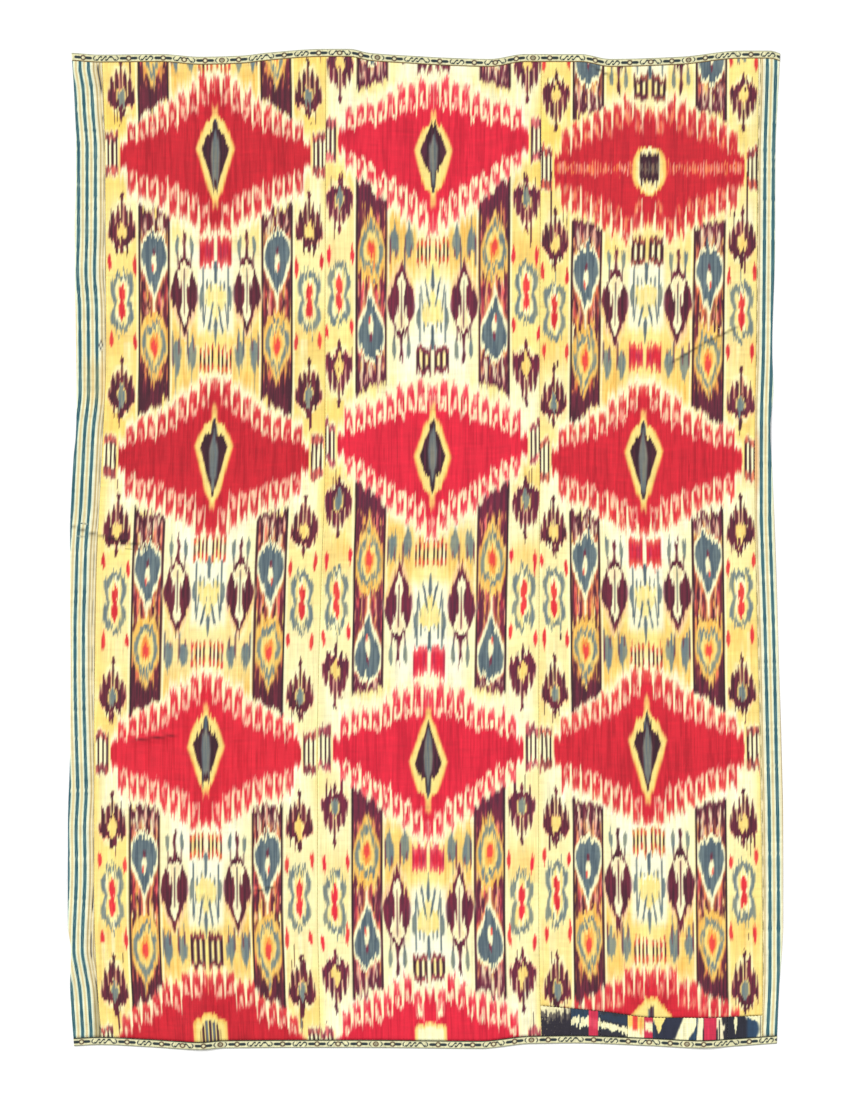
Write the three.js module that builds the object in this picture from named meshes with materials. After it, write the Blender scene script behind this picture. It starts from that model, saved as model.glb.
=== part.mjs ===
// A Central Asian ikat hanging, laid flat, face up.
// Three loom widths of warp-dyed cloth are sewn side by side. A striped cotton border runs down each
// side, a narrow patterned tape closes the top and the bottom, and the lower end of the right-hand
// width is pieced from seven scraps of other ikat.
//
// Millimetres. +X is the right of the face, +Y its top, +Z up from the surface that it lies on.
// The origin is at the middle of the box that holds the cloth, on that surface.
import * as THREE from "three";

// Thickness of each kind of cloth, and the gap that sewn edges keep.
const PANEL_THICKNESS = 1.5;
const BORDER_THICKNESS = 1.3;
const SCRAP_THICKNESS = 1.6;
const TAPE_THICKNESS = 2.2;
const SEAM_GAP = 0.3;
const TAPE_WIDTH = 14.3;

// The grid that each piece is laid out on.
const ROW_STEP = 58;
const FOLD_ROW_STEP = 7;
const NARROW_FOLD = 20;
const PANEL_COLUMNS = 13;
const BORDER_COLUMNS = 3;
const SCRAP_COLUMN_STEP = 30;
const SCRAP_ROW_STEP = 26;
const SAME_STOP = 0.0001;

// The two side edges, from the top down.
const SIDE_EDGES = [
  { y: 920, left: -650, right: 651 },
  { y: 825, left: -644, right: 646 },
  { y: 733, left: -641, right: 642 },
  { y: 550, left: -643, right: 641 },
  { y: 366, left: -641, right: 636 },
  { y: 293, left: -640, right: 638 },
  { y: 219, left: -641, right: 632 },
  { y: 164, left: -646, right: 635 },
  { y: 27, left: -652, right: 641 },
  { y: -56, left: -652, right: 644 },
  { y: -203, left: -651, right: 648 },
  { y: -368, left: -652, right: 653 },
  { y: -505, left: -656, right: 656 },
  { y: -689, left: -656, right: 656 },
  { y: -735, left: -650, right: 654 },
  { y: -799, left: -652, right: 649 },
  { y: -920, left: -644, right: 644 },
];

// The four long seams, from the top down.
const SEAMS = [
  { y: 920, left: -594, midLeft: -182, midRight: 213, right: 611 },
  { y: 733, left: -588, midLeft: -183, midRight: 212, right: 610 },
  { y: 366, left: -586, midLeft: -184, midRight: 210, right: 607 },
  { y: 164, left: -594, midLeft: -184, midRight: 210, right: 604 },
  { y: -56, left: -604, midLeft: -191, midRight: 209, right: 607 },
  { y: -368, left: -608, midLeft: -198, midRight: 208, right: 614 },
  { y: -640, left: -608, midLeft: -198, midRight: 208, right: 618 },
  { y: -799, left: -602, midLeft: -195, midRight: 210, right: 619 },
  { y: -920, left: -592, midLeft: -192, midRight: 214, right: 617 },
];

// The outer edges of the two tapes, from left to right.
const TOP_EDGE = [
  { x: -645, y: 911 },
  { x: -597, y: 908 },
  { x: -487, y: 909 },
  { x: -414, y: 904 },
  { x: -340, y: 906 },
  { x: -285, y: 912 },
  { x: -194, y: 918 },
  { x: -139, y: 918 },
  { x: -102, y: 911 },
  { x: -28, y: 906 },
  { x: 45, y: 902 },
  { x: 118, y: 900 },
  { x: 183, y: 909 },
  { x: 284, y: 909 },
  { x: 339, y: 900 },
  { x: 467, y: 904 },
  { x: 577, y: 915 },
  { x: 632, y: 915 },
  { x: 654, y: 909 },
];
const BOTTOM_EDGE = [
  { x: -645, y: -911 },
  { x: -597, y: -909 },
  { x: -506, y: -913 },
  { x: -414, y: -918 },
  { x: -368, y: -915 },
  { x: -139, y: -914 },
  { x: 100, y: -916 },
  { x: 192, y: -907 },
  { x: 274, y: -906 },
  { x: 412, y: -911 },
  { x: 504, y: -915 },
  { x: 577, y: -911 },
  { x: 647, y: -906 },
];

// The seam over the pieced strip, and where each scrap ends on its right.
const SCRAP_TOP = [
  { x: 214, y: -837 },
  { x: 320, y: -847 },
  { x: 430, y: -859 },
  { x: 504, y: -859 },
  { x: 620, y: -855 },
];
const SCRAP_JOINTS = [
  { name: "scrap_black_speckled", right: 267, colour: 0x2e2c34 },
  { name: "scrap_blue_crimson", right: 321, colour: 0x3c4a5c },
  { name: "scrap_blue_black", right: 371, colour: 0x3a3c44 },
  { name: "scrap_yellow_stripe", right: 417, colour: 0xe2a04c },
  { name: "scrap_black_cream", right: 497, colour: 0x3b3b46 },
  { name: "scrap_crimson_block", right: 554, colour: 0xcf4458 },
  { name: "scrap_black_slate", right: 640, colour: 0x3f4350 },
];

// Where the cloth stands off the surface: soft ridges from one end to the other. The narrow ones are
// the sharp creases, and the wide ones are where an edge or a seam draws the cloth up.
const FOLDS = [
  { x0: 300, y0: 890, x1: 342, y1: 866, width: 13, height: 3.6 },
  { x0: -655, y0: 44, x1: -597, y1: 25, width: 12, height: 3.2 },
  { x0: -610, y0: 29, x1: -500, y1: 2, width: 12, height: 3.0 },
  { x0: -544, y0: -351, x1: -450, y1: -340, width: 11, height: 2.2 },
  { x0: -326, y0: -630, x1: -268, y1: -616, width: 11, height: 2.6 },
  { x0: 578, y0: 411, x1: 504, y1: 375, width: 13, height: 2.8 },
  { x0: 512, y0: 379, x1: 444, y1: 338, width: 13, height: 2.4 },
  { x0: -645, y0: -560, x1: -612, y1: -770, width: 44, height: 4.5 },
  { x0: -425, y0: -925, x1: -378, y1: -770, width: 52, height: 4.0 },
  { x0: -170, y0: 930, x1: -148, y1: 760, width: 58, height: 4.5 },
  { x0: 618, y0: 925, x1: 566, y1: 740, width: 54, height: 4.0 },
  { x0: 660, y0: 190, x1: 585, y1: 262, width: 46, height: 3.5 },
  { x0: -186, y0: 190, x1: -194, y1: -120, width: 30, height: 2.2 },
  { x0: 209, y0: -330, x1: 208, y1: -590, width: 32, height: 2.4 },
  { x0: 510, y0: -925, x1: 528, y1: -790, width: 48, height: 3.5 },
  { x0: -660, y0: 610, x1: -590, y1: 560, width: 40, height: 3.0 },
];

const COLOURS = {
  ikat: 0xeec45e,
  ikatRight: 0xe9b956,
  border: 0x8fa79a,
  tape: 0xd9d2a6,
};

// A smooth line through a table's rows that never swings past them. along and across name the columns.
function smoothLine(table, along, across) {
  const rows = [...table].sort((a, b) => a[along] - b[along]);
  const steps = rows.slice(1).map((row, i) => {
    const run = row[along] - rows[i][along];
    return { run, slope: (row[across] - rows[i][across]) / run };
  });
  const slopes = rows.map((row, i) => {
    const before = steps[i - 1];
    const after = steps[i];
    if (!before) return after.slope;
    if (!after) return before.slope;
    if (before.slope * after.slope <= 0) return 0;
    return (2 * before.slope * after.slope) / (before.slope + after.slope);
  });
  return (at) => {
    const last = rows.length - 1;
    const inside = THREE.MathUtils.clamp(at, rows[0][along], rows[last][along]);
    let i = 0;
    while (i < last - 1 && rows[i + 1][along] < inside) i += 1;
    const run = steps[i].run;
    const t = (inside - rows[i][along]) / run;
    const startShare = (1 + 2 * t) * (1 - t) ** 2;
    const endShare = t * t * (3 - 2 * t);
    const startLean = t * (1 - t) ** 2 * run;
    const endLean = t * t * (t - 1) * run;
    const ends = startShare * rows[i][across] + endShare * rows[i + 1][across];
    return ends + startLean * slopes[i] + endLean * slopes[i + 1];
  };
}

const leftEdge = smoothLine(SIDE_EDGES, "y", "left");
const leftSeam = smoothLine(SEAMS, "y", "left");
const midLeftSeam = smoothLine(SEAMS, "y", "midLeft");
const midRightSeam = smoothLine(SEAMS, "y", "midRight");
const rightSeam = smoothLine(SEAMS, "y", "right");
const rightEdge = smoothLine(SIDE_EDGES, "y", "right");
const topEdge = smoothLine(TOP_EDGE, "x", "y");
const bottomEdge = smoothLine(BOTTOM_EDGE, "x", "y");
const scrapTop = smoothLine(SCRAP_TOP, "x", "y");
const topSeam = (x) => topEdge(x) - TAPE_WIDTH;
const bottomSeam = (x) => bottomEdge(x) + TAPE_WIDTH;

// How far a point lies from a fold's middle line, in fold widths, from 0 on it to 1 at its foot.
function foldDistance(fold, x, y) {
  const run = { x: fold.x1 - fold.x0, y: fold.y1 - fold.y0 };
  const length = Math.hypot(run.x, run.y);
  const share = ((x - fold.x0) * run.x + (y - fold.y0) * run.y) / length ** 2;
  const near = THREE.MathUtils.clamp(share, 0, 1);
  const fade = 1 - Math.abs(2 * near - 1) ** 3;
  const away = Math.hypot(x - fold.x0 - near * run.x, y - fold.y0 - near * run.y);
  return { away: away / fold.width, fade };
}

// The height of the cloth's underside over the surface.
function lift(x, y) {
  let height = 0;
  for (const fold of FOLDS) {
    const { away, fade } = foldDistance(fold, x, y);
    if (away < 1) height += fold.height * fade * (1 - away ** 2) ** 2;
  }
  return height;
}

// The places of the grid's rows from low to high: even steps, and closer ones over the sharp creases.
function rowStops(low, high, left, right) {
  const count = Math.max(1, Math.round((high - low) / ROW_STEP));
  const stops = Array.from({ length: count + 1 }, (_, i) => low + ((high - low) * i) / count);
  for (const fold of FOLDS.filter((f) => f.width < NARROW_FOLD)) {
    const foldLeft = Math.min(fold.x0, fold.x1);
    const foldRight = Math.max(fold.x0, fold.x1);
    if (foldRight < left || foldLeft > right) continue;
    const from = Math.max(low, Math.min(fold.y0, fold.y1) - fold.width);
    const to = Math.min(high, Math.max(fold.y0, fold.y1) + fold.width);
    for (let y = from; y <= to; y += FOLD_ROW_STEP) stops.push(y);
  }
  stops.sort((a, b) => a - b);
  const ends = [stops[0], stops[stops.length - 1]];
  const inner = stops.filter((y, i) => i > 0 && y - stops[i - 1] > FOLD_ROW_STEP / 2 && y < ends[1] - 1);
  return [ends[0], ...inner, ends[1]].map((y) => (y - low) / (high - low));
}

const evenStops = (count) => Array.from({ length: count + 1 }, (_, i) => i / count);

// A point at a share of the way from left to right and from bottom to top of four border lines.
function pointBetween(lines, across, along) {
  let x = THREE.MathUtils.lerp(lines.left(0), lines.right(0), across);
  let y = 0;
  for (let pass = 0; pass < 6; pass += 1) {
    y = THREE.MathUtils.lerp(lines.bottom(x), lines.top(x), along);
    x = THREE.MathUtils.lerp(lines.left(y), lines.right(y), across);
  }
  return { x, y };
}

// The four lines drawn in by half a seam gap on each side that is sewn to a neighbour.
function sewnLines(lines, sewn) {
  const half = SEAM_GAP / 2;
  const inset = (side) => (sewn.includes(side) ? half : 0);
  return {
    left: (y) => lines.left(y) + inset("left"),
    right: (y) => lines.right(y) - inset("right"),
    bottom: (x) => lines.bottom(x) + inset("bottom"),
    top: (x) => lines.top(x) - inset("top"),
  };
}

// A closed sheet of even thickness on the cloth's lift, laid out between four border lines.
function sheetGeometry(lines, acrossStops, alongStops, thickness) {
  const wide = acrossStops.length;
  const tall = alongStops.length;
  const layer = wide * tall;
  const positions = new Float32Array(layer * 2 * 3);
  alongStops.forEach((along, j) => {
    acrossStops.forEach((across, i) => {
      const { x, y } = pointBetween(lines, across, along);
      const under = lift(x, y);
      const at = j * wide + i;
      positions.set([x, y, under], at * 3);
      positions.set([x, y, under + thickness], (layer + at) * 3);
    });
  });
  const index = [];
  const wall = (a, b) => index.push(a, b, b + layer, a, b + layer, a + layer);
  for (let j = 0; j < tall - 1; j += 1) {
    for (let i = 0; i < wide - 1; i += 1) {
      const a = j * wide + i;
      const b = a + 1;
      const c = a + wide + 1;
      const d = a + wide;
      index.push(a, c, b, a, d, c);
      index.push(layer + a, layer + b, layer + c, layer + a, layer + c, layer + d);
    }
  }
  for (let i = 0; i < wide - 1; i += 1) {
    wall(i, i + 1);
    wall((tall - 1) * wide + i + 1, (tall - 1) * wide + i);
  }
  for (let j = 0; j < tall - 1; j += 1) {
    wall((j + 1) * wide, j * wide);
    wall(j * wide + wide - 1, (j + 1) * wide + wide - 1);
  }
  const geometry = new THREE.BufferGeometry();
  geometry.setAttribute("position", new THREE.BufferAttribute(positions, 3));
  geometry.setIndex(index);
  return geometry;
}

function clothMesh(name, geometry, colour, roughness) {
  const material = new THREE.MeshStandardMaterial({ color: colour, roughness, metalness: 0 });
  const mesh = new THREE.Mesh(geometry, material);
  mesh.name = name;
  return mesh;
}

// The shares of a strip's width at which its columns stand, so that scraps and panel line up.
function stripStops() {
  const low = bottomSeam(0);
  const start = midRightSeam(low);
  const width = rightSeam(low) - start;
  const stops = [0];
  let from = start;
  for (const joint of SCRAP_JOINTS) {
    const to = Math.min(joint.right, start + width);
    const columns = scrapColumns(from, to);
    for (let i = 1; i <= columns; i += 1) {
      stops.push((from + ((to - from) * i) / columns - start) / width);
    }
    from = to;
  }
  return stops;
}

const scrapColumns = (from, to) => Math.max(1, Math.round((to - from) / SCRAP_COLUMN_STEP));

// The pieces that lie side by side, each with its two lines and the shares of its columns.
const LEFT_BORDER = { left: leftEdge, right: leftSeam, across: evenStops(BORDER_COLUMNS) };
const LEFT_WIDTH = { left: leftSeam, right: midLeftSeam, across: evenStops(PANEL_COLUMNS) };
const CENTRE_WIDTH = { left: midLeftSeam, right: midRightSeam, across: evenStops(PANEL_COLUMNS) };
const RIGHT_WIDTH = { left: midRightSeam, right: rightSeam, across: stripStops() };
const RIGHT_BORDER = { left: rightSeam, right: rightEdge, across: evenStops(BORDER_COLUMNS) };
const ALL_PIECES = [LEFT_BORDER, LEFT_WIDTH, CENTRE_WIDTH, RIGHT_WIDTH, RIGHT_BORDER];

// One length of cloth between a bottom and a top seam. sewn names its sides that meet a neighbour.
function clothLength(name, piece, bottom, sewn, thickness, colour, roughness) {
  const { left, right, across } = piece;
  const lines = sewnLines({ left, right, bottom, top: topSeam }, [...sewn, "bottom", "top"]);
  const middle = (left(0) + right(0)) / 2;
  const along = rowStops(bottom(middle), topSeam(middle), left(0), right(0));
  return clothMesh(name, sheetGeometry(lines, across, along, thickness), colour, roughness);
}

// One loom width of ikat cloth.
function ikatPanel(name, piece, bottom, colour) {
  return clothLength(name, piece, bottom, ["left", "right"], PANEL_THICKNESS, colour, 0.62);
}

// A striped cotton border down one side.
function sideBorder(name, piece, sewnSide) {
  return clothLength(name, piece, bottomSeam, [sewnSide], BORDER_THICKNESS, COLOURS.border, 0.85);
}

// A tape over the full width, whose columns stand on the columns of the pieces along its seam.
function endTape(name, bottom, top, seam, sewnSide) {
  const stops = [];
  for (const { left, right, across } of ALL_PIECES) {
    for (const share of across) {
      const { x, y } = pointBetween({ left, right, bottom: seam, top: seam }, share, 0);
      const stop = (x - leftEdge(y)) / (rightEdge(y) - leftEdge(y));
      const before = stops[stops.length - 1] ?? -1;
      if (stop - before > SAME_STOP) stops.push(stop);
    }
  }
  const lines = sewnLines({ left: leftEdge, right: rightEdge, bottom, top }, [sewnSide]);
  const geometry = sheetGeometry(lines, stops, evenStops(1), TAPE_THICKNESS);
  return clothMesh(name, geometry, COLOURS.tape, 0.8);
}

// One scrap of the pieced strip.
function scrap(name, left, right, colour) {
  const lines = sewnLines({ left, right, bottom: bottomSeam, top: scrapTop }, ["left", "right", "bottom", "top"]);
  const low = bottomSeam(0);
  const columns = scrapColumns(left(low), right(low));
  const rows = Math.round((scrapTop(left(low)) - low) / SCRAP_ROW_STEP);
  const geometry = sheetGeometry(lines, evenStops(columns), evenStops(rows), SCRAP_THICKNESS);
  return clothMesh(name, geometry, colour, 0.7);
}

// The scraps, from left to right. The first and the last meet the long seams.
function piecedStrip() {
  let left = midRightSeam;
  return SCRAP_JOINTS.map((joint, i) => {
    const isLast = i === SCRAP_JOINTS.length - 1;
    const right = isLast ? rightSeam : () => joint.right;
    const mesh = scrap(joint.name, left, right, joint.colour);
    left = right;
    return mesh;
  });
}

const hanging = new THREE.Group();
hanging.add(ikatPanel("panel_left", LEFT_WIDTH, bottomSeam, COLOURS.ikat));
hanging.add(ikatPanel("panel_centre", CENTRE_WIDTH, bottomSeam, COLOURS.ikat));
hanging.add(ikatPanel("panel_right", RIGHT_WIDTH, scrapTop, COLOURS.ikatRight));
hanging.add(sideBorder("border_left", LEFT_BORDER, "right"));
hanging.add(sideBorder("border_right", RIGHT_BORDER, "left"));
hanging.add(endTape("tape_top", topSeam, topEdge, topSeam, "bottom"));
hanging.add(endTape("tape_bottom", bottomEdge, bottomSeam, bottomSeam, "top"));
hanging.add(...piecedStrip());

export default hanging;
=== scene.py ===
"""Looks of a Central Asian ikat hanging, laid out flat and face up.

Three loom widths of warp ikat are sewn side by side, with a striped cotton border down each side, a
patterned tape along each end, and seven scraps of other ikat at the lower right. Each sheet lies between
the same lines as its CAD solid, on a finer grid, and keeps its dyes as a colour at each point.
"""
import math

import bpy
import numpy as np
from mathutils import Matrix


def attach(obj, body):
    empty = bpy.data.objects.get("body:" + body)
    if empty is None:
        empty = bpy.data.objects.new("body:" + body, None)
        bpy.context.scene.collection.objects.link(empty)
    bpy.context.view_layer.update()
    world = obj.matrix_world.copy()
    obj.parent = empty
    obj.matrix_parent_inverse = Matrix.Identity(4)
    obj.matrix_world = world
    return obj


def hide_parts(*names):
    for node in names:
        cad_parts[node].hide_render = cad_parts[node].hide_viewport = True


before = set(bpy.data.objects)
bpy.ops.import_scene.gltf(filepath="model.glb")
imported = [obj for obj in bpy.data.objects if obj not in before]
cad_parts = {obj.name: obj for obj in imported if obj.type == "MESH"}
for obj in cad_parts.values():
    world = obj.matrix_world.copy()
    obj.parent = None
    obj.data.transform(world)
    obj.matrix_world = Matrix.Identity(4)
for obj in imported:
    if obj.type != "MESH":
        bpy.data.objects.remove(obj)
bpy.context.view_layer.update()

# Sizes are in millimetres, as in the CAD source, and turn into metres where a mesh is made.
METRE = 0.001

PANEL_THICKNESS = 1.5
BORDER_THICKNESS = 1.3
SCRAP_THICKNESS = 1.6
TAPE_THICKNESS = 2.2
SEAM_GAP = 0.3
HALF_GAP = SEAM_GAP / 2
TAPE_WIDTH = 14.3

# The two side edges from the top down: y, left, right.
SIDE_EDGES = [
    (920, -650, 651), (825, -644, 646), (733, -641, 642), (550, -643, 641), (366, -641, 636),
    (293, -640, 638), (219, -641, 632), (164, -646, 635), (27, -652, 641), (-56, -652, 644),
    (-203, -651, 648), (-368, -652, 653), (-505, -656, 656), (-689, -656, 656), (-735, -650, 654),
    (-799, -652, 649), (-920, -644, 644),
]
# The four long seams from the top down: y, left, middle left, middle right, right.
SEAMS = [
    (920, -594, -182, 213, 611), (733, -588, -183, 212, 610), (366, -586, -184, 210, 607),
    (164, -594, -184, 210, 604), (-56, -604, -191, 209, 607), (-368, -608, -198, 208, 614),
    (-640, -608, -198, 208, 618), (-799, -602, -195, 210, 619), (-920, -592, -192, 214, 617),
]
# The outer edges of the two tapes, and the seam over the pieced strip: x, y.
TOP_EDGE = [
    (-645, 911), (-597, 908), (-487, 909), (-414, 904), (-340, 906), (-285, 912), (-194, 918),
    (-139, 918), (-102, 911), (-28, 906), (45, 902), (118, 900), (183, 909), (284, 909), (339, 900),
    (467, 904), (577, 915), (632, 915), (654, 909),
]
BOTTOM_EDGE = [
    (-645, -911), (-597, -909), (-506, -913), (-414, -918), (-368, -915), (-139, -914), (100, -916),
    (192, -907), (274, -906), (412, -911), (504, -915), (577, -911), (647, -906),
]
SCRAP_TOP = [(214, -837), (320, -847), (430, -859), (504, -859), (620, -855)]

# Where the cloth stands off the surface, as in the CAD source: x0, y0, x1, y1, width, height.
FOLDS = [
    (300, 890, 342, 866, 13, 3.6), (-655, 44, -597, 25, 12, 3.2), (-610, 29, -500, 2, 12, 3.0),
    (-544, -351, -450, -340, 11, 2.2), (-326, -630, -268, -616, 11, 2.6), (578, 411, 504, 375, 13, 2.8),
    (512, 379, 444, 338, 13, 2.4), (-645, -560, -612, -770, 44, 4.5), (-425, -925, -378, -770, 52, 4.0),
    (-170, 930, -148, 760, 58, 4.5), (618, 925, 566, 740, 54, 4.0), (660, 190, 585, 262, 46, 3.5),
    (-186, 190, -194, -120, 30, 2.2), (209, -330, 208, -590, 32, 2.4), (510, -925, 528, -790, 48, 3.5),
    (-660, 610, -590, 560, 40, 3.0),
]
# Folds narrower than this are creases, which get painted shade along their crest.
SHARP_FOLD = 20

# Dyes, as they look on the cloth, from 0 to 255.
YELLOW = (250, 226, 134)
GOLD = (250, 210, 112)
AMBER = (241, 182, 80)
CREAM = (254, 248, 196)
BLEACHED = (255, 253, 224)
WARM = (250, 214, 98)
PALE_YELLOW = (254, 238, 166)
ROSE = (208, 48, 78)
PINK = (240, 84, 104)
PALE_PINK = (250, 176, 150)
BLACK_BROWN = (52, 24, 36)
SLATE = (108, 124, 126)
DARK_SLATE = (78, 94, 104)
GREY = (140, 146, 126)
ORANGE = (246, 138, 62)
RED = (236, 72, 62)
TEAL = (48, 94, 106)
PALE_TEAL = (112, 148, 148)
MINT = (236, 244, 212)
BEIGE = (236, 220, 168)
PALE_BEIGE = (246, 240, 206)
TAN = (186, 164, 112)
INK = (46, 44, 54)
NIGHT_BLUE = (44, 70, 96)
STRAW = (236, 232, 184)
OLIVE = (112, 104, 62)


# Lines, lift and grids

def smooth_line(rows):
    """A smooth line through rows of (place, value) that never swings past them."""
    ordered = np.array(sorted(rows), float)
    places = ordered[:, 0]
    values = ordered[:, 1]
    slopes = np.diff(values) / np.diff(places)
    before = slopes[:-1]
    after = slopes[1:]
    turns = before * after <= 0
    inner = np.where(turns, 0.0, 2 * before * after / np.where(turns, 1.0, before + after))
    leans = np.concatenate(([slopes[0]], inner, [slopes[-1]]))

    def line(at):
        inside = np.clip(at, places[0], places[-1])
        i = np.clip(np.searchsorted(places, inside) - 1, 0, len(places) - 2)
        run = places[i + 1] - places[i]
        t = (inside - places[i]) / run
        ends = (1 + 2 * t) * (1 - t) ** 2 * values[i] + t * t * (3 - 2 * t) * values[i + 1]
        return ends + t * (1 - t) ** 2 * run * leans[i] + t * t * (t - 1) * run * leans[i + 1]

    return line


def column(rows, index):
    """The line through one column of a table whose first column is the place."""
    return smooth_line([(row[0], row[index]) for row in rows])


left_edge = column(SIDE_EDGES, 1)
right_edge = column(SIDE_EDGES, 2)
left_seam = column(SEAMS, 1)
mid_left_seam = column(SEAMS, 2)
mid_right_seam = column(SEAMS, 3)
right_seam = column(SEAMS, 4)
top_edge = smooth_line(TOP_EDGE)
bottom_edge = smooth_line(BOTTOM_EDGE)
scrap_top = smooth_line(SCRAP_TOP)


def top_seam(x):
    return top_edge(x) - TAPE_WIDTH


def bottom_seam(x):
    return bottom_edge(x) + TAPE_WIDTH


def fold_distance(fold, x, y):
    """How far points lie from a fold's middle line, in its widths, and how high it is there."""
    x0, y0, x1, y1, width, _ = fold
    run_x = x1 - x0
    run_y = y1 - y0
    share = np.clip(((x - x0) * run_x + (y - y0) * run_y) / (run_x ** 2 + run_y ** 2), 0, 1)
    away = np.hypot(x - x0 - share * run_x, y - y0 - share * run_y)
    return away / width, 1 - np.abs(2 * share - 1) ** 3


def lift(x, y):
    """The height of the cloth's underside over the surface."""
    height = np.zeros(np.shape(x))
    for fold in FOLDS:
        away, fade = fold_distance(fold, x, y)
        height += fold[5] * fade * np.where(away < 1, (1 - away ** 2) ** 2, 0)
    return height


def moved(line, by):
    """The same line, moved across by some millimetres."""
    return lambda at: line(at) + by


def grid_between(left, right, bottom, top, columns, rows, sewn=(1, 1, 1, 1)):
    """Points between four border lines: x and y, each with a row for each step from bottom to top. A sheet
    stays half a gap off each line where it is sewn: left, right, bottom and top."""
    left = moved(left, HALF_GAP * sewn[0])
    right = moved(right, -HALF_GAP * sewn[1])
    bottom = moved(bottom, HALF_GAP * sewn[2])
    top = moved(top, -HALF_GAP * sewn[3])
    across = np.linspace(0, 1, columns + 1)[None, :]
    along = np.linspace(0, 1, rows + 1)[:, None]
    x = left(0.0) + (right(0.0) - left(0.0)) * across + 0 * along
    for _ in range(6):
        y = bottom(x) + (top(x) - bottom(x)) * along
        x = left(y) + (right(y) - left(y)) * across
    return x, y


# Soft masks and random slips

def ease(x):
    t = np.clip(x, 0.0, 1.0)
    return t * t * (3.0 - 2.0 * t)


def within(x, low, high, soft):
    """1 between low and high, 0 outside, over a soft edge."""
    return ease((x - low) / soft + 0.5) * ease((high - x) / soft + 0.5)


def slip(rng, strips, down, size, knot):
    """A smooth random value along the warp, its own for each strip of threads. down has one value a row."""
    place = (down - down.min()) / knot
    low = np.floor(place).astype(int)
    table = rng.normal(0.0, size, (low.max() + 2, strips.max() + 1))
    t = ease(place - low)[:, None]
    return table[low[:, None], strips] * (1.0 - t) + table[low[:, None] + 1, strips] * t


# How far apart in millimetres a weft band changes.
WEFT_KNOT = 22.0


class Cloth:
    """A sheet's points in millimetres with the dye on each."""

    def __init__(self, x, y, ground, seed):
        self.x = x
        self.y = y
        self.rng = np.random.default_rng(seed)
        self.colour = np.ones(x.shape + (3,)) * np.array(ground, float)

    def paint(self, mask, colour, rows=slice(None)):
        """Lays a dye, one colour or one a point, over the rows, which are all of them unless given."""
        m = np.clip(mask, 0.0, 1.0)[..., None]
        self.colour[rows] = self.colour[rows] * (1.0 - m) + np.asarray(colour, float) * m

    def wear(self, strip, size, knot, weft_size):
        """Threads that took more or less dye, and short bands across where the weft was beaten in."""
        strips = np.floor((self.x - self.x.min()) / strip).astype(int)
        threads = slip(self.rng, strips, -self.y.mean(axis=1), size, knot)
        rows = np.zeros_like(strips) + np.arange(len(strips))[:, None]
        bands = slip(self.rng, rows.T, self.x.mean(axis=0), weft_size, WEFT_KNOT).T
        self.colour *= (1.0 + threads + bands)[..., None]


# Each loom width was dyed on its own. gold is how golden its ground is, and hooks how clear its hooks are.
LEFT_DYES = dict(
    ground=(253, 228, 134), gold=0.8, hooks=0.6, crimson=(207, 30, 46), deep_crimson=(180, 18, 36),
    fringe=(246, 108, 88), purple=(112, 36, 54), dark_purple=(72, 28, 42),
)
CENTRE_DYES = dict(
    ground=(254, 234, 146), gold=1.0, hooks=1.0, crimson=(230, 34, 60), deep_crimson=(204, 22, 50),
    fringe=(250, 120, 116), purple=(122, 36, 60), dark_purple=(84, 34, 54),
)
RIGHT_DYES = dict(
    ground=(253, 230, 138), gold=0.8, hooks=0.6, crimson=(217, 34, 52), deep_crimson=(188, 24, 42),
    fringe=(248, 126, 84), purple=(114, 38, 58), dark_purple=(72, 30, 44),
)
# Other dyes of single repeats. hollow is the pale inside of a hook, and cut how far the pale gaps between
# fingers reach into the body.
ROSY_DYES = dict(crimson=(226, 36, 56), deep_crimson=(204, 24, 44))
FOLDED_DYES = dict(
    crimson=(208, 34, 48), deep_crimson=(182, 26, 42), fringe=(240, 98, 68), hooks=0.4,
    hollow=(250, 176, 104), cut=12,
)
LOW_RIGHT_DYES = dict(fringe=(236, 82, 74), hooks=0.35, hollow=(250, 196, 140))


# The dyer's chart

# One chart unit in millimetres. The chart counts across from the middle of a loom width, where it was
# folded for dyeing, and down the warp from the line through a medallion's two side tips.
UNIT = 1.835
# In units: the soft edge of a dyed form across and along the warp, and how wide a finger's hooked head and
# a whole bundle of warps are.
EDGE = 1.0
FEATHER = 2.8
HEAD = 9.0
BUNDLE = 10.3
# The middle lines of the purple leaf, of the dark column and of the flowers, the column's two sides and the
# pitch of its flames.
LEAF = 31.2
PILLAR_MIDDLE = 61.6
EDGE_COLUMN = 93.6
PILLAR_INNER = 46.0
PILLAR_OUTER = 76.8
UPPER_FLAMES = 8.0
LOWER_FLAMES = 7.4
# A dark core of an arch that is wider than this has stripes.
WIDE_CORE = 5
PURPLES = ("purple", "dark_purple")

# The edges of a medallion's bundles of warps from the middle out.
BUNDLE_EDGES = [0.0, 5.6, 15.9, 26.2, 36.4, 46.7, 57.0, 67.3, 77.6, 87.8, 94.5]


def bundles_of(rows):
    """A medallion's bundles: inner and outer edge, and then their row."""
    return [(low, high, *row) for low, high, row in zip(BUNDLE_EDGES, BUNDLE_EDGES[1:], rows)]


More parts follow.
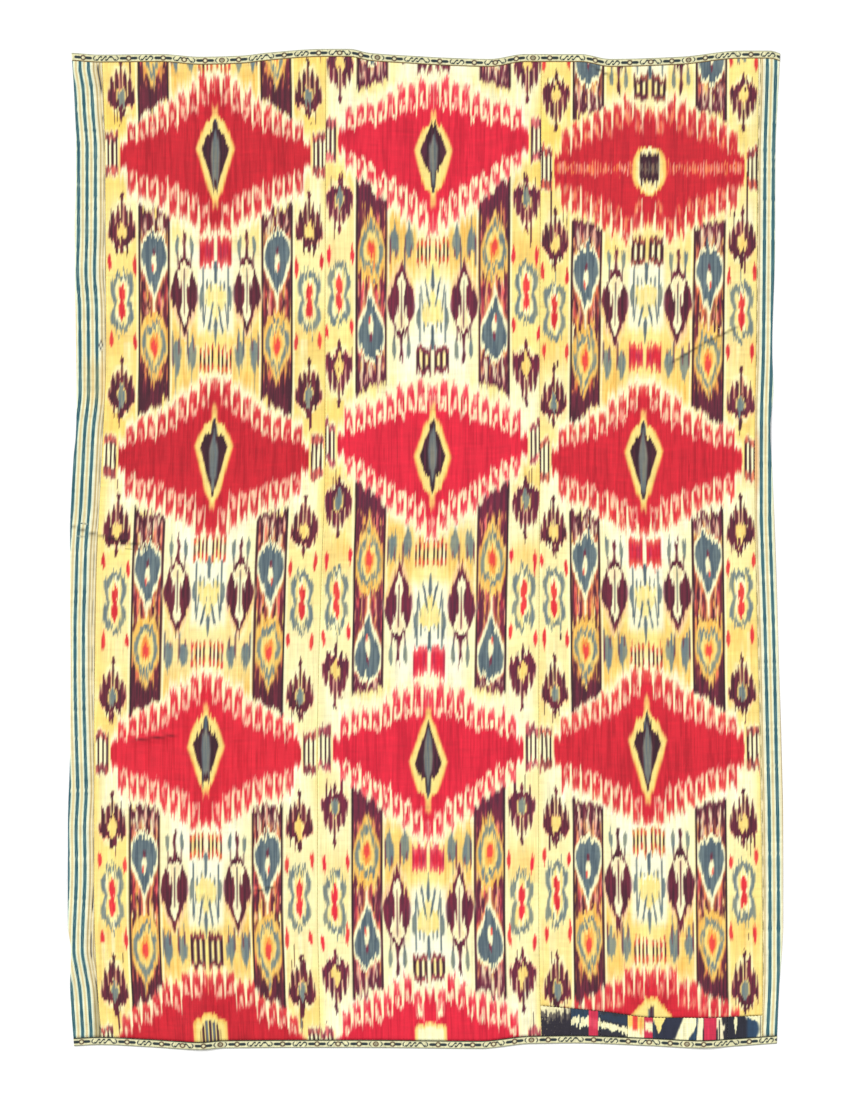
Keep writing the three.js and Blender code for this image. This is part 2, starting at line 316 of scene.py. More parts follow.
# Each bundle's row says where its finger starts and ends, and where the whole body starts and ends.
LONE_MEDALLION = bundles_of([
    (-77, 77, -62, 70), (-76, 77, -50, 49), (-67, 69, -41, 39), (-61, 63, -35, 34), (-49, 57, -26, 30),
    (-45, 51, -22, 26), (-39, 46, -18, 23), (-35, 43, -15, 20), (-30, 38, -12, 17), (-11, 13, -8, 10),
])
TURNED_MEDALLION = bundles_of([
    (-91, 55, -70, 30), (-85, 61, -59, 30), (-77, 56, -49, 29), (-68, 54, -44, 26), (-64, 46, -37, 20),
    (-55, 40, -33, 17), (-45, 38, -24, 17), (-36, 36, -17, 14), (-28, 31, -13, 11), (-10, 11, -8, 8),
])
FOLDED_MEDALLION = bundles_of([
    (-finger, finger, -body, body) for finger, body in (
        (60, 50), (60, 33), (74, 49), (66, 41), (59, 33), (55, 29), (49, 24), (44, 19), (37, 14), (14, 11),
    )
])


# How many units wide the strips of threads are that slip or take up dye together. The first two are mirrored
# on both sides of the fold, and the last two are each side's own.
PAIR = 1.35
BUNCH = 3.4
THREAD = 1.25
STRAND = 4.1
# Where a repeat starts and ends on the chart.
REPEAT_START = -115
REPEAT_END = 290


def strips_of(across, size):
    """The number of the strip that each point lies in."""
    return np.floor(across / size - (across / size).min()).astype(int)


class Width(Cloth):
    """One loom width under the dyer's chart."""

    def __init__(self, x, y, left, right, drift, dyes, seed):
        super().__init__(x, y, dyes["ground"], seed)
        self.dyes = dyes
        half = (right(y) - left(y)) / 2
        across = x - (left(y) + right(y)) / 2 - drift(y)
        across = across / UNIT * half / (half - drift(y) * np.sign(across))
        self.across = np.abs(across)
        down = -y.mean(axis=1) / UNIT
        rng = self.rng
        pair = np.floor(self.across / PAIR).astype(int)
        bunch = np.floor(self.across / BUNCH).astype(int)
        bundle = np.floor(self.across / BUNDLE).astype(int)
        thread = strips_of(across, THREAD)
        strand = strips_of(across, STRAND)
        mirrored = slip(rng, pair, down, 1.2, 24) + slip(rng, bunch, down, 1.1, 46)
        mirrored += slip(rng, bundle, down, 1.0, 90)
        own = slip(rng, thread, down, 1.0, 30) + slip(rng, strand, down, 0.9, 60)
        self.slip = mirrored + own
        self.uptake = slip(rng, thread, down, 0.5, 17) + slip(rng, pair, down, 0.5, 33)
        self.broken = slip(rng, pair, down, 0.8, 9) + slip(rng, thread, down, 0.4, 8)
        self.fray = slip(rng, pair, down, 0.9, 30) + slip(rng, thread, down, 0.45, 26)
        self.warmth = slip(rng, bunch, down, 0.5, 40) + slip(rng, bundle, down, 0.5, 70)

    def repeat(self, tip, way, stretch, from_tip=False):
        """The rows that one repeat of the chart reaches. way is 1 where the chart runs down, -1 where up."""
        place = (tip - self.y) / UNIT * way * stretch
        middle = place.mean(axis=1)
        start = 0 if from_tip else REPEAT_START
        rows = np.where((middle >= start) & (middle < REPEAT_END))[0]
        return Repeat(self, rows, place[rows])


class Repeat:
    """One repeat of the chart on its rows: across from the middle, down from the medallion's tips."""

    def __init__(self, width, rows, place, slipped=1.0):
        self.width = width
        self.rows = rows
        self.place = place
        self.down = place + slipped * width.slip[rows]
        self.across = width.across[rows]
        self.uptake = width.uptake[rows]
        self.broken = width.broken[rows]
        self.fray = width.fray[rows]
        self.warmth = width.warmth[rows]
        self.dye = width.dyes

    def slipped(self, by):
        """The same repeat, drawn further along the chart by some units."""
        return Repeat(self.width, self.rows, self.place - by)

    def steadied(self):
        """The same repeat where the threads slipped less, as they did in the tightly bound middle."""
        return Repeat(self.width, self.rows, self.place, 0.4)

    def paint(self, mask, colour, other=None, lean=0.0):
        """Lays a dye over the rows, or one that varies from thread to thread between two. A name stands for
        the loom width's own dye."""
        shade = np.array(self.dye.get(colour, colour), float)
        if other is not None:
            share = ease(0.5 + 0.55 * self.uptake + lean)[..., None]
            shade = shade * (1.0 - share) + np.array(self.dye.get(other, other), float) * share
        self.width.paint(mask, shade, self.rows)

    def form(self, at, stations, edge, fray, *dye, strength=1.0):
        """Lays a dye over a form about the line at, as shape and paint say."""
        self.paint(self.shape(at, stations, edge, fray) * strength, *dye)

    def rows_between(self, top, bottom, feather=FEATHER, fray=0.0):
        """Between two places down the chart. fray moves the two ends by some units from thread to thread."""
        lean = fray * self.fray
        below_top = ease((self.down - top + lean) / feather + 0.5)
        return below_top * ease((bottom - self.down + lean) / feather + 0.5)

    def bar(self, at, half, top, bottom, feather=FEATHER, fray=0.0):
        return within(self.across, at - half, at + half, EDGE) * self.rows_between(top, bottom, feather, fray)

    def shape(self, at, stations, edge=EDGE, fray=0.0):
        """A form about the line at, from rows of (place down the chart, half width)."""
        places = [place for place, _ in stations]
        halves = [half for _, half in stations]
        middle = (places[0] + places[-1]) / 2
        reach = (places[-1] - places[0]) / 2
        stretched = middle + (self.down - middle) * (1 - fray * self.fray / reach)
        half = np.interp(stretched, places, halves, left=-3.0, right=-3.0)
        return ease((half - np.abs(self.across - at)) / edge + 0.5)

    def stripes(self, at, pitch, share):
        """Thin stripes along the warp, one of them on the line at."""
        wave = 0.5 + 0.5 * np.cos((self.across - at) * 2 * np.pi / pitch)
        return ease((wave - 1 + share) * 4 + 0.35 * self.uptake)

    def patchy(self, share):
        """One over most threads, less where the dye did not take, over about this share of them."""
        return 1.0 - 0.75 * ease(1.3 * self.broken + 2.0 * share - 0.9)

    def flames(self, at, pitch, lean):
        """Broken streaks near such stripes, where the dye crept along some threads. lean adds more dye."""
        wave = np.cos((self.across - at) * 2 * np.pi / pitch)
        return ease(0.5 + lean + 0.6 * wave + 0.6 * self.broken)


def drop(top, widest, bottom, half, up=1.0, low=1.0):
    """Stations of a drop. up and low are 1 for straight flanks, less for full ones, more for hollow ones."""
    shares = np.linspace(0.0, 1.0, 9)[1:]
    upper = [(top + share * (widest - top), half * share ** up) for share in shares]
    lower = [(bottom - share * (bottom - widest), half * share ** low) for share in shares[-2::-1]]
    return [(top, 0.2), *upper, *lower, (bottom, 0.2)]


def grown(stations, by, more):
    """The same stations, wider by some units and longer by more at both ends."""
    first, *inner, last = stations
    body = [(place, half + by) for place, half in inner]
    return [(first[0] - more, 0.3), (first[0], by * 0.8), *body, (last[0], by * 0.8), (last[0] + more, 0.3)]


def draw_medallion_halo(r, bundles, strength):
    """The bleached ground around a medallion."""
    for low, high, top, bottom, _, _ in bundles:
        halo = within(r.across, low - 1, high + 1, 3) * r.rows_between(top - 10, bottom + 13, 15, 3.0)
        r.paint(halo * strength, CREAM, BLEACHED)


def draw_medallion(r, bundles):
    """A lozenge whose rim is a row of hooked fingers, one for each bundle of warps."""
    sharp = r.dye["hooks"]
    for low, high, top, bottom, body_top, body_bottom in bundles:
        middle = (top + bottom) / 2
        finger = within(r.across, low, high, EDGE) * r.rows_between(top, bottom, 6.5, 2.5)
        r.paint(finger, "crimson", "deep_crimson", -0.3)
        past_body = ease(np.maximum(body_top - r.down, r.down - body_bottom) / 8)
        thin = past_body * r.flames(high - 3.2, HEAD, -0.05)
        tip = ease((np.abs(r.down - middle) - (bottom - top) / 2 + 13) / 13)
        r.paint(finger * np.maximum(thin * 0.4, tip * (0.3 + 0.35 * sharp)), "fringe", PALE_PINK, -0.3)
        r.paint(finger * past_body * ease(1.5 * r.broken - 0.85) * 0.5, CREAM)
        if low > 0 and high - low > HEAD:
            draw_hook(r, high, r.down - top, body_top - top, sharp)
            draw_hook(r, high, bottom - r.down, bottom - body_bottom, sharp)
    for low, high, _, _, body_top, body_bottom in bundles:
        across = within(r.across, low - 0.8, high + 0.8, EDGE)
        body = across * r.rows_between(body_top, body_bottom, 5.0, 2.0)
        r.paint(body, "crimson", "deep_crimson", -0.2 + 0.35 * r.warmth)


def draw_hook(r, high, deep, reach, sharp):
    """The undyed gap and hook beside a finger's stem. deep counts from the fingertip towards the body."""
    inward = high - r.across
    half = np.clip(1.7 - 0.04 * deep, 0.7, 1.8) * (0.55 + 0.45 * sharp)
    gap = within(np.abs(inward - 9.4), -1, half, 0.9) * within(deep, -6, reach + r.dye.get("cut", 6), 5)
    r.paint(gap, CREAM)
    soft = 1.0 + 1.2 * (1 - sharp)
    hollow = within(inward, 2.2, 5.6, soft) * within(deep, reach * 0.46, reach * 0.94, 3.4 * soft)
    lean = within(inward, 4.9, 8.2, soft) * within(deep, reach * 0.74, reach * 1.04, 3.0 * soft)
    r.paint(np.maximum(hollow, lean) * (0.35 + 0.65 * sharp) * ease(0.85 + 0.4 * r.broken),
            r.dye.get("hollow", CREAM), PALE_PINK, -0.35)
    corner = within(inward, 5.8, 8.6, 1.0) * within(deep, -6, 3.0, 4)
    r.paint(corner * 0.8 * sharp, CREAM)


def draw_eye(r, top, widest, bottom, half, up, low):
    """The dark drop in the medallion, with a grey core, in a yellow field with a golden rim."""
    shoulder = (top + widest) / 2 - 2
    dark = drop(shoulder, widest, bottom, half, up, low)
    field = grown(drop(top + 2, widest, bottom, half, 0.65, low), 6.0, 8)
    r.form(0, field, 3.4, 2.0, AMBER, GOLD, 0.1)
    neck = within(r.across, -1, 3.0, 2.5) * r.rows_between(top - 14, bottom + 13, 8, 3.0)
    r.paint(neck * 0.85, GOLD)
    inner = [(place, half_width - 1.9) for place, half_width in field]
    r.form(0, inner, 3.4, 2.0, YELLOW, strength=0.95)
    spike = [(top, 0.3), (top + 4, 2.2), (shoulder, 3.0), (widest, 3.4)]
    r.form(0, spike, 1.4, 2.0, DARK_SLATE, BLACK_BROWN)
    r.form(0, dark, 1.6, 3.0, "dark_purple", BLACK_BROWN, 0.1)
    long = bottom - top
    core = [(top + 0.16 * long, 0.2), (top + 0.34 * long, 3.6), (widest + 5, 4.6),
            (bottom - 0.25 * long, 3.4), (bottom - 0.1 * long, 0.2)]
    r.form(0, core, 2.8, 4.0, GREY, SLATE, strength=0.85)


# The yellow oval around the folded eye, below and above the fold: place and half width.
OVAL_BELOW = [(-6, 17), (8, 17), (16, 14.5), (22, 10), (29, 2)]
OVAL_ABOVE = [(-6, 17), (7, 16.5), (14, 14), (19, 10), (22, 3)]


def draw_folded_eye(r, way):
    """Where the warp was folded over: a dark block in a yellow oval, and a ragged band across."""
    band = within(np.abs(r.down + 2.0 * r.fray), -1, 5.0, 3) * within(r.across, 14, 94, 4)
    r.paint(band * r.flames(0, 2.7, 0.15) * 0.9, ORANGE, PALE_PINK)
    oval = OVAL_BELOW if way > 0 else OVAL_ABOVE
    r.form(0, oval, 3, 1.5, AMBER, GOLD, 0.2)
    r.form(0, [(place, half - 3.5) for place, half in oval], 3, 1.5, YELLOW, CREAM)
    block = within(r.across, -1, 9.7, 1.4) * r.rows_between(-30, 14, 4, 2.5)
    r.paint(block, "dark_purple", BLACK_BROWN)
    r.paint(block * r.rows_between(-30, 4.5, 5, 3.0) * r.flames(0, 2.2, 0.3) * 0.55, TAN, GREY)


def draw_arch(r, way, top, half, fall, core):
    """The lowest medallions show only the arch over the eye. fall is how far it drops to its sides."""
    down = r.down * way
    top_of_arch = top + fall * (np.minimum(r.across, half) / half) ** 1.5
    arch = ease((down - top_of_arch + r.fray) / 3 + 0.5) * within(r.across, -1, half, 2)
    r.paint(arch, GOLD if core else YELLOW, AMBER if core else GOLD, -0.2)
    inner = ease((down - top_of_arch - 4 + r.fray) / 3 + 0.5) * within(r.across, -1, half - 3, 2)
    r.paint(inner, YELLOW if core else CREAM)
    if core:
        dark = ease((down - top - 9 - 0.5 * r.across + 3 * r.fray) / 3 + 0.5)
        dark = dark * within(r.across, -1, core, 1.2)
        if core > WIDE_CORE:
            dark = dark * r.stripes(0, 3.6, 0.75)
        r.paint(dark, "dark_purple", SLATE, -0.25)


def draw_pillar(r):
    """The dark column on each side, which ends along the medallions' slopes, with flames in it."""
    slant = (r.across - PILLAR_INNER) / (PILLAR_OUTER - PILLAR_INNER)
    ends = ease((r.down - 60 + 8 * slant + 2.5 * r.fray) / 5 + 0.5)
    ends = ends * ease((243 + 19 * slant - r.down + 2.5 * r.fray) / 5 + 0.5)
    r.paint(within(r.across, PILLAR_INNER, PILLAR_OUTER, EDGE) * ends, "dark_purple", "purple")
    beside = np.abs(r.across - PILLAR_MIDDLE)
    inside = within(beside, -1, 13.6, 1.4)
    upper = inside * r.rows_between(62, 94, 10, 6.0)
    r.paint(upper * r.flames(PILLAR_MIDDLE + 0.4, UPPER_FLAMES, 0.0) * 0.9, PALE_PINK, CREAM, 0.1)
    low = inside * r.rows_between(74, 92, 9, 5.0)
    r.paint(low * r.flames(PILLAR_MIDDLE + 3.0, UPPER_FLAMES, -0.35) * 0.6, "fringe", AMBER)
    middle = inside * r.rows_between(120, 166, 12, 6.0)
    r.paint(middle * r.flames(PILLAR_MIDDLE, LOWER_FLAMES, -0.22) * 0.95, AMBER, PALE_PINK)
    r.paint(middle * r.flames(PILLAR_MIDDLE + 2.3, LOWER_FLAMES, -0.42) * 0.6, "fringe", "crimson")
    lower = inside * r.rows_between(162, 214 - 0.9 * beside, 9, 7.0)
    r.paint(lower * r.flames(PILLAR_MIDDLE, LOWER_FLAMES, 0.3), GOLD, AMBER, -0.2)
    r.paint(lower * ease(1.2 * r.broken - 0.4) * 0.8, CREAM, "fringe", -0.2)
    flank = inside * r.rows_between(196, 228, 8, 5.0)
    r.paint(flank * r.flames(PILLAR_MIDDLE + 0.4, LOWER_FLAMES, -0.1) * 0.9, AMBER, "fringe", -0.1)


def draw_pillar_lines(r):
    """A dark and a pale line along both sides of the column."""
    r.paint(r.bar(PILLAR_OUTER - 0.7, 1.0, 52, 262), BLACK_BROWN)
    r.paint(r.bar(PILLAR_INNER + 0.8, 1.0, 62, 244), "dark_purple", BLACK_BROWN)
    r.paint(r.bar(PILLAR_INNER - 1.7, 0.9, 60, 246) * 0.85, CREAM)
    r.paint(r.bar(PILLAR_OUTER + 1.5, 0.9, 50, 262) * 0.85, CREAM)


def draw_slate_drop(r):
    """A slate drop with a small pale heart, in a cream field."""
    beside = np.abs(r.across - PILLAR_MIDDLE)
    field = [(75, 2), (80, 8), (86, 12.6), (94, 14.2), (107, 14.2), (114, 12.6), (121, 9.8), (130, 6.4),
             (138, 3.2), (146, 1.2), (162, 0.9), (168, 0)]
    fringe = r.shape(PILLAR_MIDDLE, grown(field, 2.0, 4), 3.0, 2.0) * within(beside, -1, 13.6, 1.4)
    r.paint(fringe * 0.6, "fringe", AMBER)
    r.paint(r.shape(PILLAR_MIDDLE, field, 2.0, 2.0) * within(beside, -1, 14.2, 1.2), CREAM)
    body = [(79, 0.3), (82, 4.5), (86, 9.2), (92, 11.8), (101, 12.7), (109, 10.9), (117, 7.9), (125, 5.2),
            (132, 2.6), (138, 0.2)]
    r.form(PILLAR_MIDDLE, body, 1.8, 3.0, SLATE, DARK_SLATE)
    r.form(PILLAR_MIDDLE, [(98, 0), (103, 2.0), (109, 2.7), (115, 2.2), (120, 0.3)], 1.4, 0, CREAM)
    r.paint(r.bar(PILLAR_MIDDLE, 1.2, 94, 101) * 0.9, "purple")
    r.paint(r.bar(PILLAR_MIDDLE + 1.3, 0.9, 111, 118) * 0.9, RED)


def draw_ring_drop(r):
    """A slate ring with an orange heart and a golden halo."""
    halo = [(158, 2), (163, 9), (175, 13.2), (192, 14.4), (204, 11.8), (216, 7), (226, 2.5), (233, 0)]
    r.form(PILLAR_MIDDLE, halo, 3.0, 3.0, GOLD, AMBER)
    ring = [(167, 1.5), (171, 6.5), (178, 9.8), (185, 11.8), (193, 12.0), (203, 9.0), (212, 5.2),
            (223, 0.2)]
    r.paint(r.shape(PILLAR_MIDDLE, ring, 2.2, 4.5) * r.patchy(0.06), SLATE, GREY)
    hole = [(174, 0.4), (178, 5.2), (185, 7.8), (193, 8.2), (203, 5.2), (213, 0.4)]
    r.form(PILLAR_MIDDLE, hole, 2.2, 4.5, YELLOW, GOLD)
    glow = [(179, 0.3), (185, 4.2), (194, 4.8), (205, 0.4)]
    r.form(PILLAR_MIDDLE, glow, 2.4, 3.0, ORANGE, AMBER)
    r.form(PILLAR_MIDDLE, [(186, 0.3), (190, 2.9), (197, 2.8), (202, 0.3)], 1.6, 1.5, RED)


def draw_leaf(r):
    """A purple leaf on a stem between two grey ovals, with a pale three-pronged heart."""
    r.form(LEAF, [(96, 4), (110, 8), (139, 16.5), (160, 12), (184, 3)], 5, 0, CREAM, strength=0.6)
    glow = [(128, 8), (139, 15.4), (152, 14), (166, 8), (184, 1)]
    r.form(LEAF, glow, 3, 4.0, AMBER, PALE_PINK, strength=0.5)
    body = [(80, 1.0), (86, 2.0), (93, 0.8), (103, 1.6), (107, 5.0), (113, 6.2), (121, 10), (130, 13),
            (139, 14.2), (147, 12.6), (157, 8.4), (168, 4.2), (181, 0.3)]
    r.form(LEAF, body, 1.8, 4.0, *PURPLES)
    heart = [(109, 0.4), (113, 4.4), (117, 7.4), (122, 6.8), (128, 3.0), (134, 2.2), (149, 2.4), (156, 4.4),
             (163, 3.2), (170, 0.2)]
    r.form(LEAF, heart, 1.4, 1.5, CREAM)
    blush = [(111, 1), (117, 5.6), (122, 4.6), (128, 1)]
    r.form(LEAF, blush, 2, 2.0, AMBER, PALE_PINK, strength=0.2)
    vein = [(114, 0.6), (122, 0.9), (134, 0.8), (158, 0.6), (161, 0)]
    r.form(LEAF, vein, 0.8, 0, GREY, "purple")
    oval = [(82, 0), (88, 2.1), (96, 1.8), (105, 0)]
    for beside in (-1, 1):
        r.paint(r.bar(LEAF + 4.4 * beside, 0.9, 120, 132, 4, 2.0), CREAM)
        r.form(LEAF + 7.3 * beside, oval, 1.2, 2.0, GREY, SLATE)
        r.paint(r.bar(LEAF + 6.6 * beside, 0.6, 101, 114) * 0.7, "dark_purple")


def draw_ovals(r):
    """A grey oval with a dark tail on each side of the leaf's stem."""
    for at, half, tail in ((23.8, 4.8, 28.0), (38.6, 4.6, 42.8)):
        oval = [(184, 0), (189, 3.4), (197, half), (206, 4.0), (214, 0.8), (218, 0)]
        r.form(at, oval, 2.0, 3.5, GREY, SLATE)
        r.paint(r.bar(tail, 0.9, 178, 204, 6, 3.0) * 0.85, DARK_SLATE, "purple")
        r.paint(r.bar(at - 2.0, 0.8, 184, 194, 4, 2.0) * 0.6, "purple")


def draw_bars(r, top, bottom, kind):
    """A block of short bars on each side of the middle. It is dyed in one of four ways."""
    block = within(r.across, 1.8, 16.2, EDGE) * r.rows_between(top, bottom, 5, 2.0)
    if kind == "crimson":
        r.paint(block, "crimson", ROSE)
        r.paint(block * r.stripes(5.0, 3.4, 0.4) * 0.4, "deep_crimson", "purple")
        r.paint(block * (1 - r.rows_between(top + 5, bottom - 5, 6, 1.5)) * 0.6, "fringe")
        return
    r.paint(block, CREAM, YELLOW)
    if kind == "outlined":
        hollows = within(r.across, 4.6, 7.2, 1.2) + within(r.across, 10.2, 13.0, 1.2)
        r.paint(block, "dark_purple", BLACK_BROWN)
        r.paint(block * hollows * r.rows_between(top + 5, bottom - 5, 4, 1.5), YELLOW, CREAM)
        rails = block * (1 - r.rows_between(top + 4, bottom - 4, 5, 1.5))
        r.paint(rails * 0.8, "purple", "fringe", -0.1)
        return
    ends = 1 - r.rows_between(top + 6, bottom - 7, 6, 2.0)
    dark = (BLACK_BROWN, "dark_purple") if kind == "dark" else ("purple", BLACK_BROWN)
    r.paint(block * r.stripes(3.0, 4.0, 0.56), *dark)
    r.paint(block * ends * r.stripes(3.0, 4.0, 0.8) * 0.9, RED, ORANGE, -0.2)


def draw_sun(r):
    """A pale yellow disc with a slate knob, thin crown and slanting legs."""
    slate = (SLATE, DARK_SLATE)
    r.paint(within(r.across, -1, 18, 5) * within(r.down, 108, 178, 14) * 0.8, BLEACHED)
    r.form(0, [(107, 0.8), (112, 2.2), (117, 1.5), (125, 1.6), (131, 0.9)], 1.2, 0, *slate)
    disc = [(133, 9.8), (137, 10.8), (150, 10.6), (156, 5.5), (164, 2.4), (169, 0)]
    r.form(0, disc, 1.8, 2.0, YELLOW, PALE_YELLOW)
    for at, top, bottom, half in ((4.6, 127, 134, 0.7), (8.6, 126, 135, 0.8), (12.6, 114, 166, 0.8)):
        r.paint(r.bar(at, half, top, bottom, 4, 2.0), *slate)
    r.form(14.2, [(131, 0.5), (138, 2.2), (146, 2.0), (152, 0.4)], 1.4, 1.5, SLATE, GREY)
    for start, lean, half, top in ((2.6, 0.17, 1.0, 150), (9.4, 0.10, 0.6, 146)):
        leg = start + (r.down - top) * lean
        strip = ease((half - np.abs(r.across - leg)) / EDGE + 0.5)
        r.paint(strip * r.rows_between(top, top + 26, 5, 2.0), *slate)
    r.form(0, [(164, 0.3), (170, 1.9), (180, 1.4), (190, 0.2)], 1.2, 0, DARK_SLATE, SLATE)


# A flower's loose petals: distance from its middle line, half width, and where each starts and ends.
PETALS = [(4.0, 1.9, 13, 42), (8.9, 1.9, 18, 44), (12.4, 0.9, 29, 46)]


def draw_flower(r, top, heart):
    """A purple flower: a bud on a stem, loose petals, and a full crown around a yellow or grey heart."""
    r.form(EDGE_COLUMN, [(top + 8, 6), (top + 40, 16), (top + 58, 6)], 6, 0, CREAM, strength=0.7)
    haze = [(top + 15, 2), (top + 22, 8), (top + 32, 12), (top + 44, 12)]
    r.form(EDGE_COLUMN, haze, 3.0, 3.0, "fringe", GOLD, 0.1, strength=0.4)
    stem = [(top, 0.4), (top + 4, 2.1), (top + 9, 0.9), (top + 14, 1.2), (top + 62, 0.2)]
    r.form(EDGE_COLUMN, stem, EDGE, 0, *PURPLES)
    crown = [(top + 31, 2), (top + 34, 10.6), (top + 40, 13), (top + 46, 11.8), (top + 51, 7.8),
             (top + 55, 1.5)]
    r.form(EDGE_COLUMN, grown(crown, 1.2, 3), 2.4, 3.0, "fringe", strength=0.5)
    r.form(EDGE_COLUMN, crown, 1.6, 4.5, *PURPLES)
    for away, half, first, last in PETALS:
        petal = [(top + first, 0.2), (top + first + 7, half), (top + last, half)]
        for beside in (-1, 1):
            r.form(EDGE_COLUMN + beside * away, petal, 1.4, 2.0, *PURPLES)
    middle = [(top + 30, 0.4), (top + 35, 4.8), (top + 42, 5.0), (top + 48, 0.5)]
    r.form(EDGE_COLUMN, middle, 1.8, 2.5, YELLOW, GOLD)
    if heart == "grey":
        grey = [(top + 31, 0.4), (top + 36, 3.4), (top + 43, 3.6), (top + 49, 0.4)]
        r.form(EDGE_COLUMN, grey, 1.6, 2.5, GREY, SLATE)
    r.form(EDGE_COLUMN, [(top + 52, 0.8), (top + 58, 1.9), (top + 64, 0.3)], EDGE, 0, *PURPLES)


def draw_double_ring(r):
    """A slate figure of eight around two red drops, with small red lozenges over and under it."""
    outer = [(115, 1.5), (119, 7.5), (127, 11.6), (136, 11.2), (146, 7.4), (155, 11.2), (164, 11.8),
             (172, 7.5), (177, 1.0)]
    inner = [(121, 0.5), (125, 4.4), (131, 7.2), (139, 6.8), (146, 4.6), (153, 6.8), (160, 7.2),
             (167, 4.0), (171, 0.5)]
    r.form(EDGE_COLUMN, outer, 2.2, 3.5, SLATE, GREY)
    r.form(EDGE_COLUMN, inner, 2.2, 3.5, CREAM, YELLOW)
    heart = [(129, 0.6), (133, 3.0), (141, 3.1), (146, 1.2), (150, 3.3), (158, 3.2), (165, 0.6)]
    r.form(EDGE_COLUMN, heart, 1.4, 1.5, RED, "crimson")
    for at, middle in ((81, 112), (106, 107), (80.5, 187), (104, 186)):
        lozenge = [(middle - 9, 0.2), (middle - 3, 1.9), (middle + 3, 2.0), (middle + 9, 0.2)]
        r.form(at, lozenge, 1.2, 1.5, RED, "crimson")


def draw_fence(r):
    """Three dark bars at the selvedge beside a medallion's tip."""
    block = within(r.across, 97.2, 110, EDGE)
    r.paint(block * within(r.down, -22, 24, 7), CREAM)
    bars = block * r.stripes(98.6, 4.3, 0.55) * r.rows_between(-18, 20, 5, 2.0)
    r.paint(bars, BLACK_BROWN, "dark_purple")
    ends = r.rows_between(-20, -13, 4, 1.0) + r.rows_between(13, 22, 4, 1.0)
    r.paint(block * ends * 0.85, "purple", "fringe", -0.1)


# Golden stretches of the ground: from and to across and a soft edge, the same down the chart with a fray,
# how strong they are and how much amber they have.
GOLDEN_GROUND = [
    (20, 62, 22, -92, -48, 18, 4.0, 0.85, -0.2), (14, 52, 10, 170, 238, 26, 6.0, 0.85, -0.25),
    (22, 45, 8, 152, 184, 14, 6.0, 0.6, 0.0), (80, 110, 8, -80, -26, 26, 4.0, 0.55, -0.3),
    (80, 110, 8, 168, 204, 20, 4.0, 0.7, -0.2),
]


def draw_ground(r):
    """Golden and bleached stretches of the yellow ground."""
    gold = r.dye["gold"]
    r.paint(ease(0.02 + 0.45 * r.warmth) * 0.5 * gold, GOLD)
    r.paint(ease(-0.1 - 0.5 * r.warmth) * 0.6, CREAM)
    for low, high, soft, top, bottom, feather, fray, strength, amber in GOLDEN_GROUND:
        stretch = within(r.across, low, high, soft) * r.rows_between(top, bottom, feather, fray)
        r.paint(stretch * strength * gold, GOLD, AMBER, amber)
    r.paint(within(r.across, -1, 46, 10) * within(r.down, 62, 130, 22) * 0.9, CREAM)
    r.paint(within(r.across, -1, 34, 12) * within(r.down, 66, 108, 18) * 0.85, BLEACHED)
    r.paint(within(r.across, 78, 106, 12) * within(r.down, 16, 70, 22) * 0.85, CREAM, BLEACHED)


# Where the ground faded or was stained, in units from the middle of the cloth: x, y, half width, half
# height and how far it turns to cream, or where negative to a warm yellow.
GROUND_PATCHES = [
    (-126, 0, 34, 44, 0.3), (-126, -130, 34, 90, 0.75), (-126, -330, 36, 110, 0.7),
    (-236, -210, 60, 24, 0.8), (-226, -100, 80, 34, 0.45), (-306, -70, 22, 60, 0.5),
    (-100, 290, 50, 60, 0.5), (-78, -80, 30, 70, 0.6), (-78, -260, 30, 70, 0.7),
    (-78, -400, 30, 60, 0.65), (84, 30, 56, 28, 0.8), (84, -60, 30, 60, 0.5), (84, -220, 30, 100, 0.7),
    (84, -390, 30, 60, 0.7), (0, -220, 90, 24, 0.6), (134, 150, 28, 40, 0.5), (134, -60, 28, 110, 0.6),
    (134, -290, 28, 130, 0.6), (304, 230, 26, 70, 0.4), (304, 10, 26, 70, 0.5),
    (304, -280, 26, 80, 0.6), (-306, 400, 26, 66, -0.8), (-136, 400, 26, 66, -0.8),
    (-180, 320, 44, 26, -0.5), (-236, 330, 50, 26, -0.5), (-80, 130, 28, 36, -0.8),
    (-130, 90, 28, 26, -0.6), (-306, 110, 26, 50, -0.4), (134, 400, 30, 70, -0.9),
    (304, 390, 28, 60, -0.8), (216, 468, 70, 22, -0.7), (190, 320, 80, 30, -0.7),
    (240, 120, 60, 24, -0.3), (310, 86, 22, 30, -0.5), (-86, 492, 70, 20, -0.4),
    (230, 390, 60, 50, -0.5), (240, 300, 60, 40, -0.5),
]


def tone_ground(cloth):
    """Fades and stains the ground, before the motifs are drawn."""
    for x, y, half_width, half_height, amount in GROUND_PATCHES:
        away = np.hypot((cloth.x / UNIT - x) / half_width, (cloth.y / UNIT - y) / half_height)
        cloth.paint(ease(1.4 - away) * abs(amount), CREAM if amount > 0 else WARM)


def draw_motifs(r, item):
    """Everything of one repeat but its ground and its medallion."""
    middle, slate, ring = (r.slipped(by) for by in item["slips"])
    draw_pillar(r)
    draw_slate_drop(slate)
    draw_ring_drop(ring)
    draw_pillar_lines(r)
    draw_leaf(r)
    draw_ovals(r)
    draw_sun(middle)
    draw_bars(middle, 85, 110, item["first"])
    draw_bars(middle, item["second_top"], 217, item["second"])
    draw_fence(r)
    draw_flower(r, 37, "yellow")
    draw_flower(r, 203, "grey")
    draw_double_ring(r)


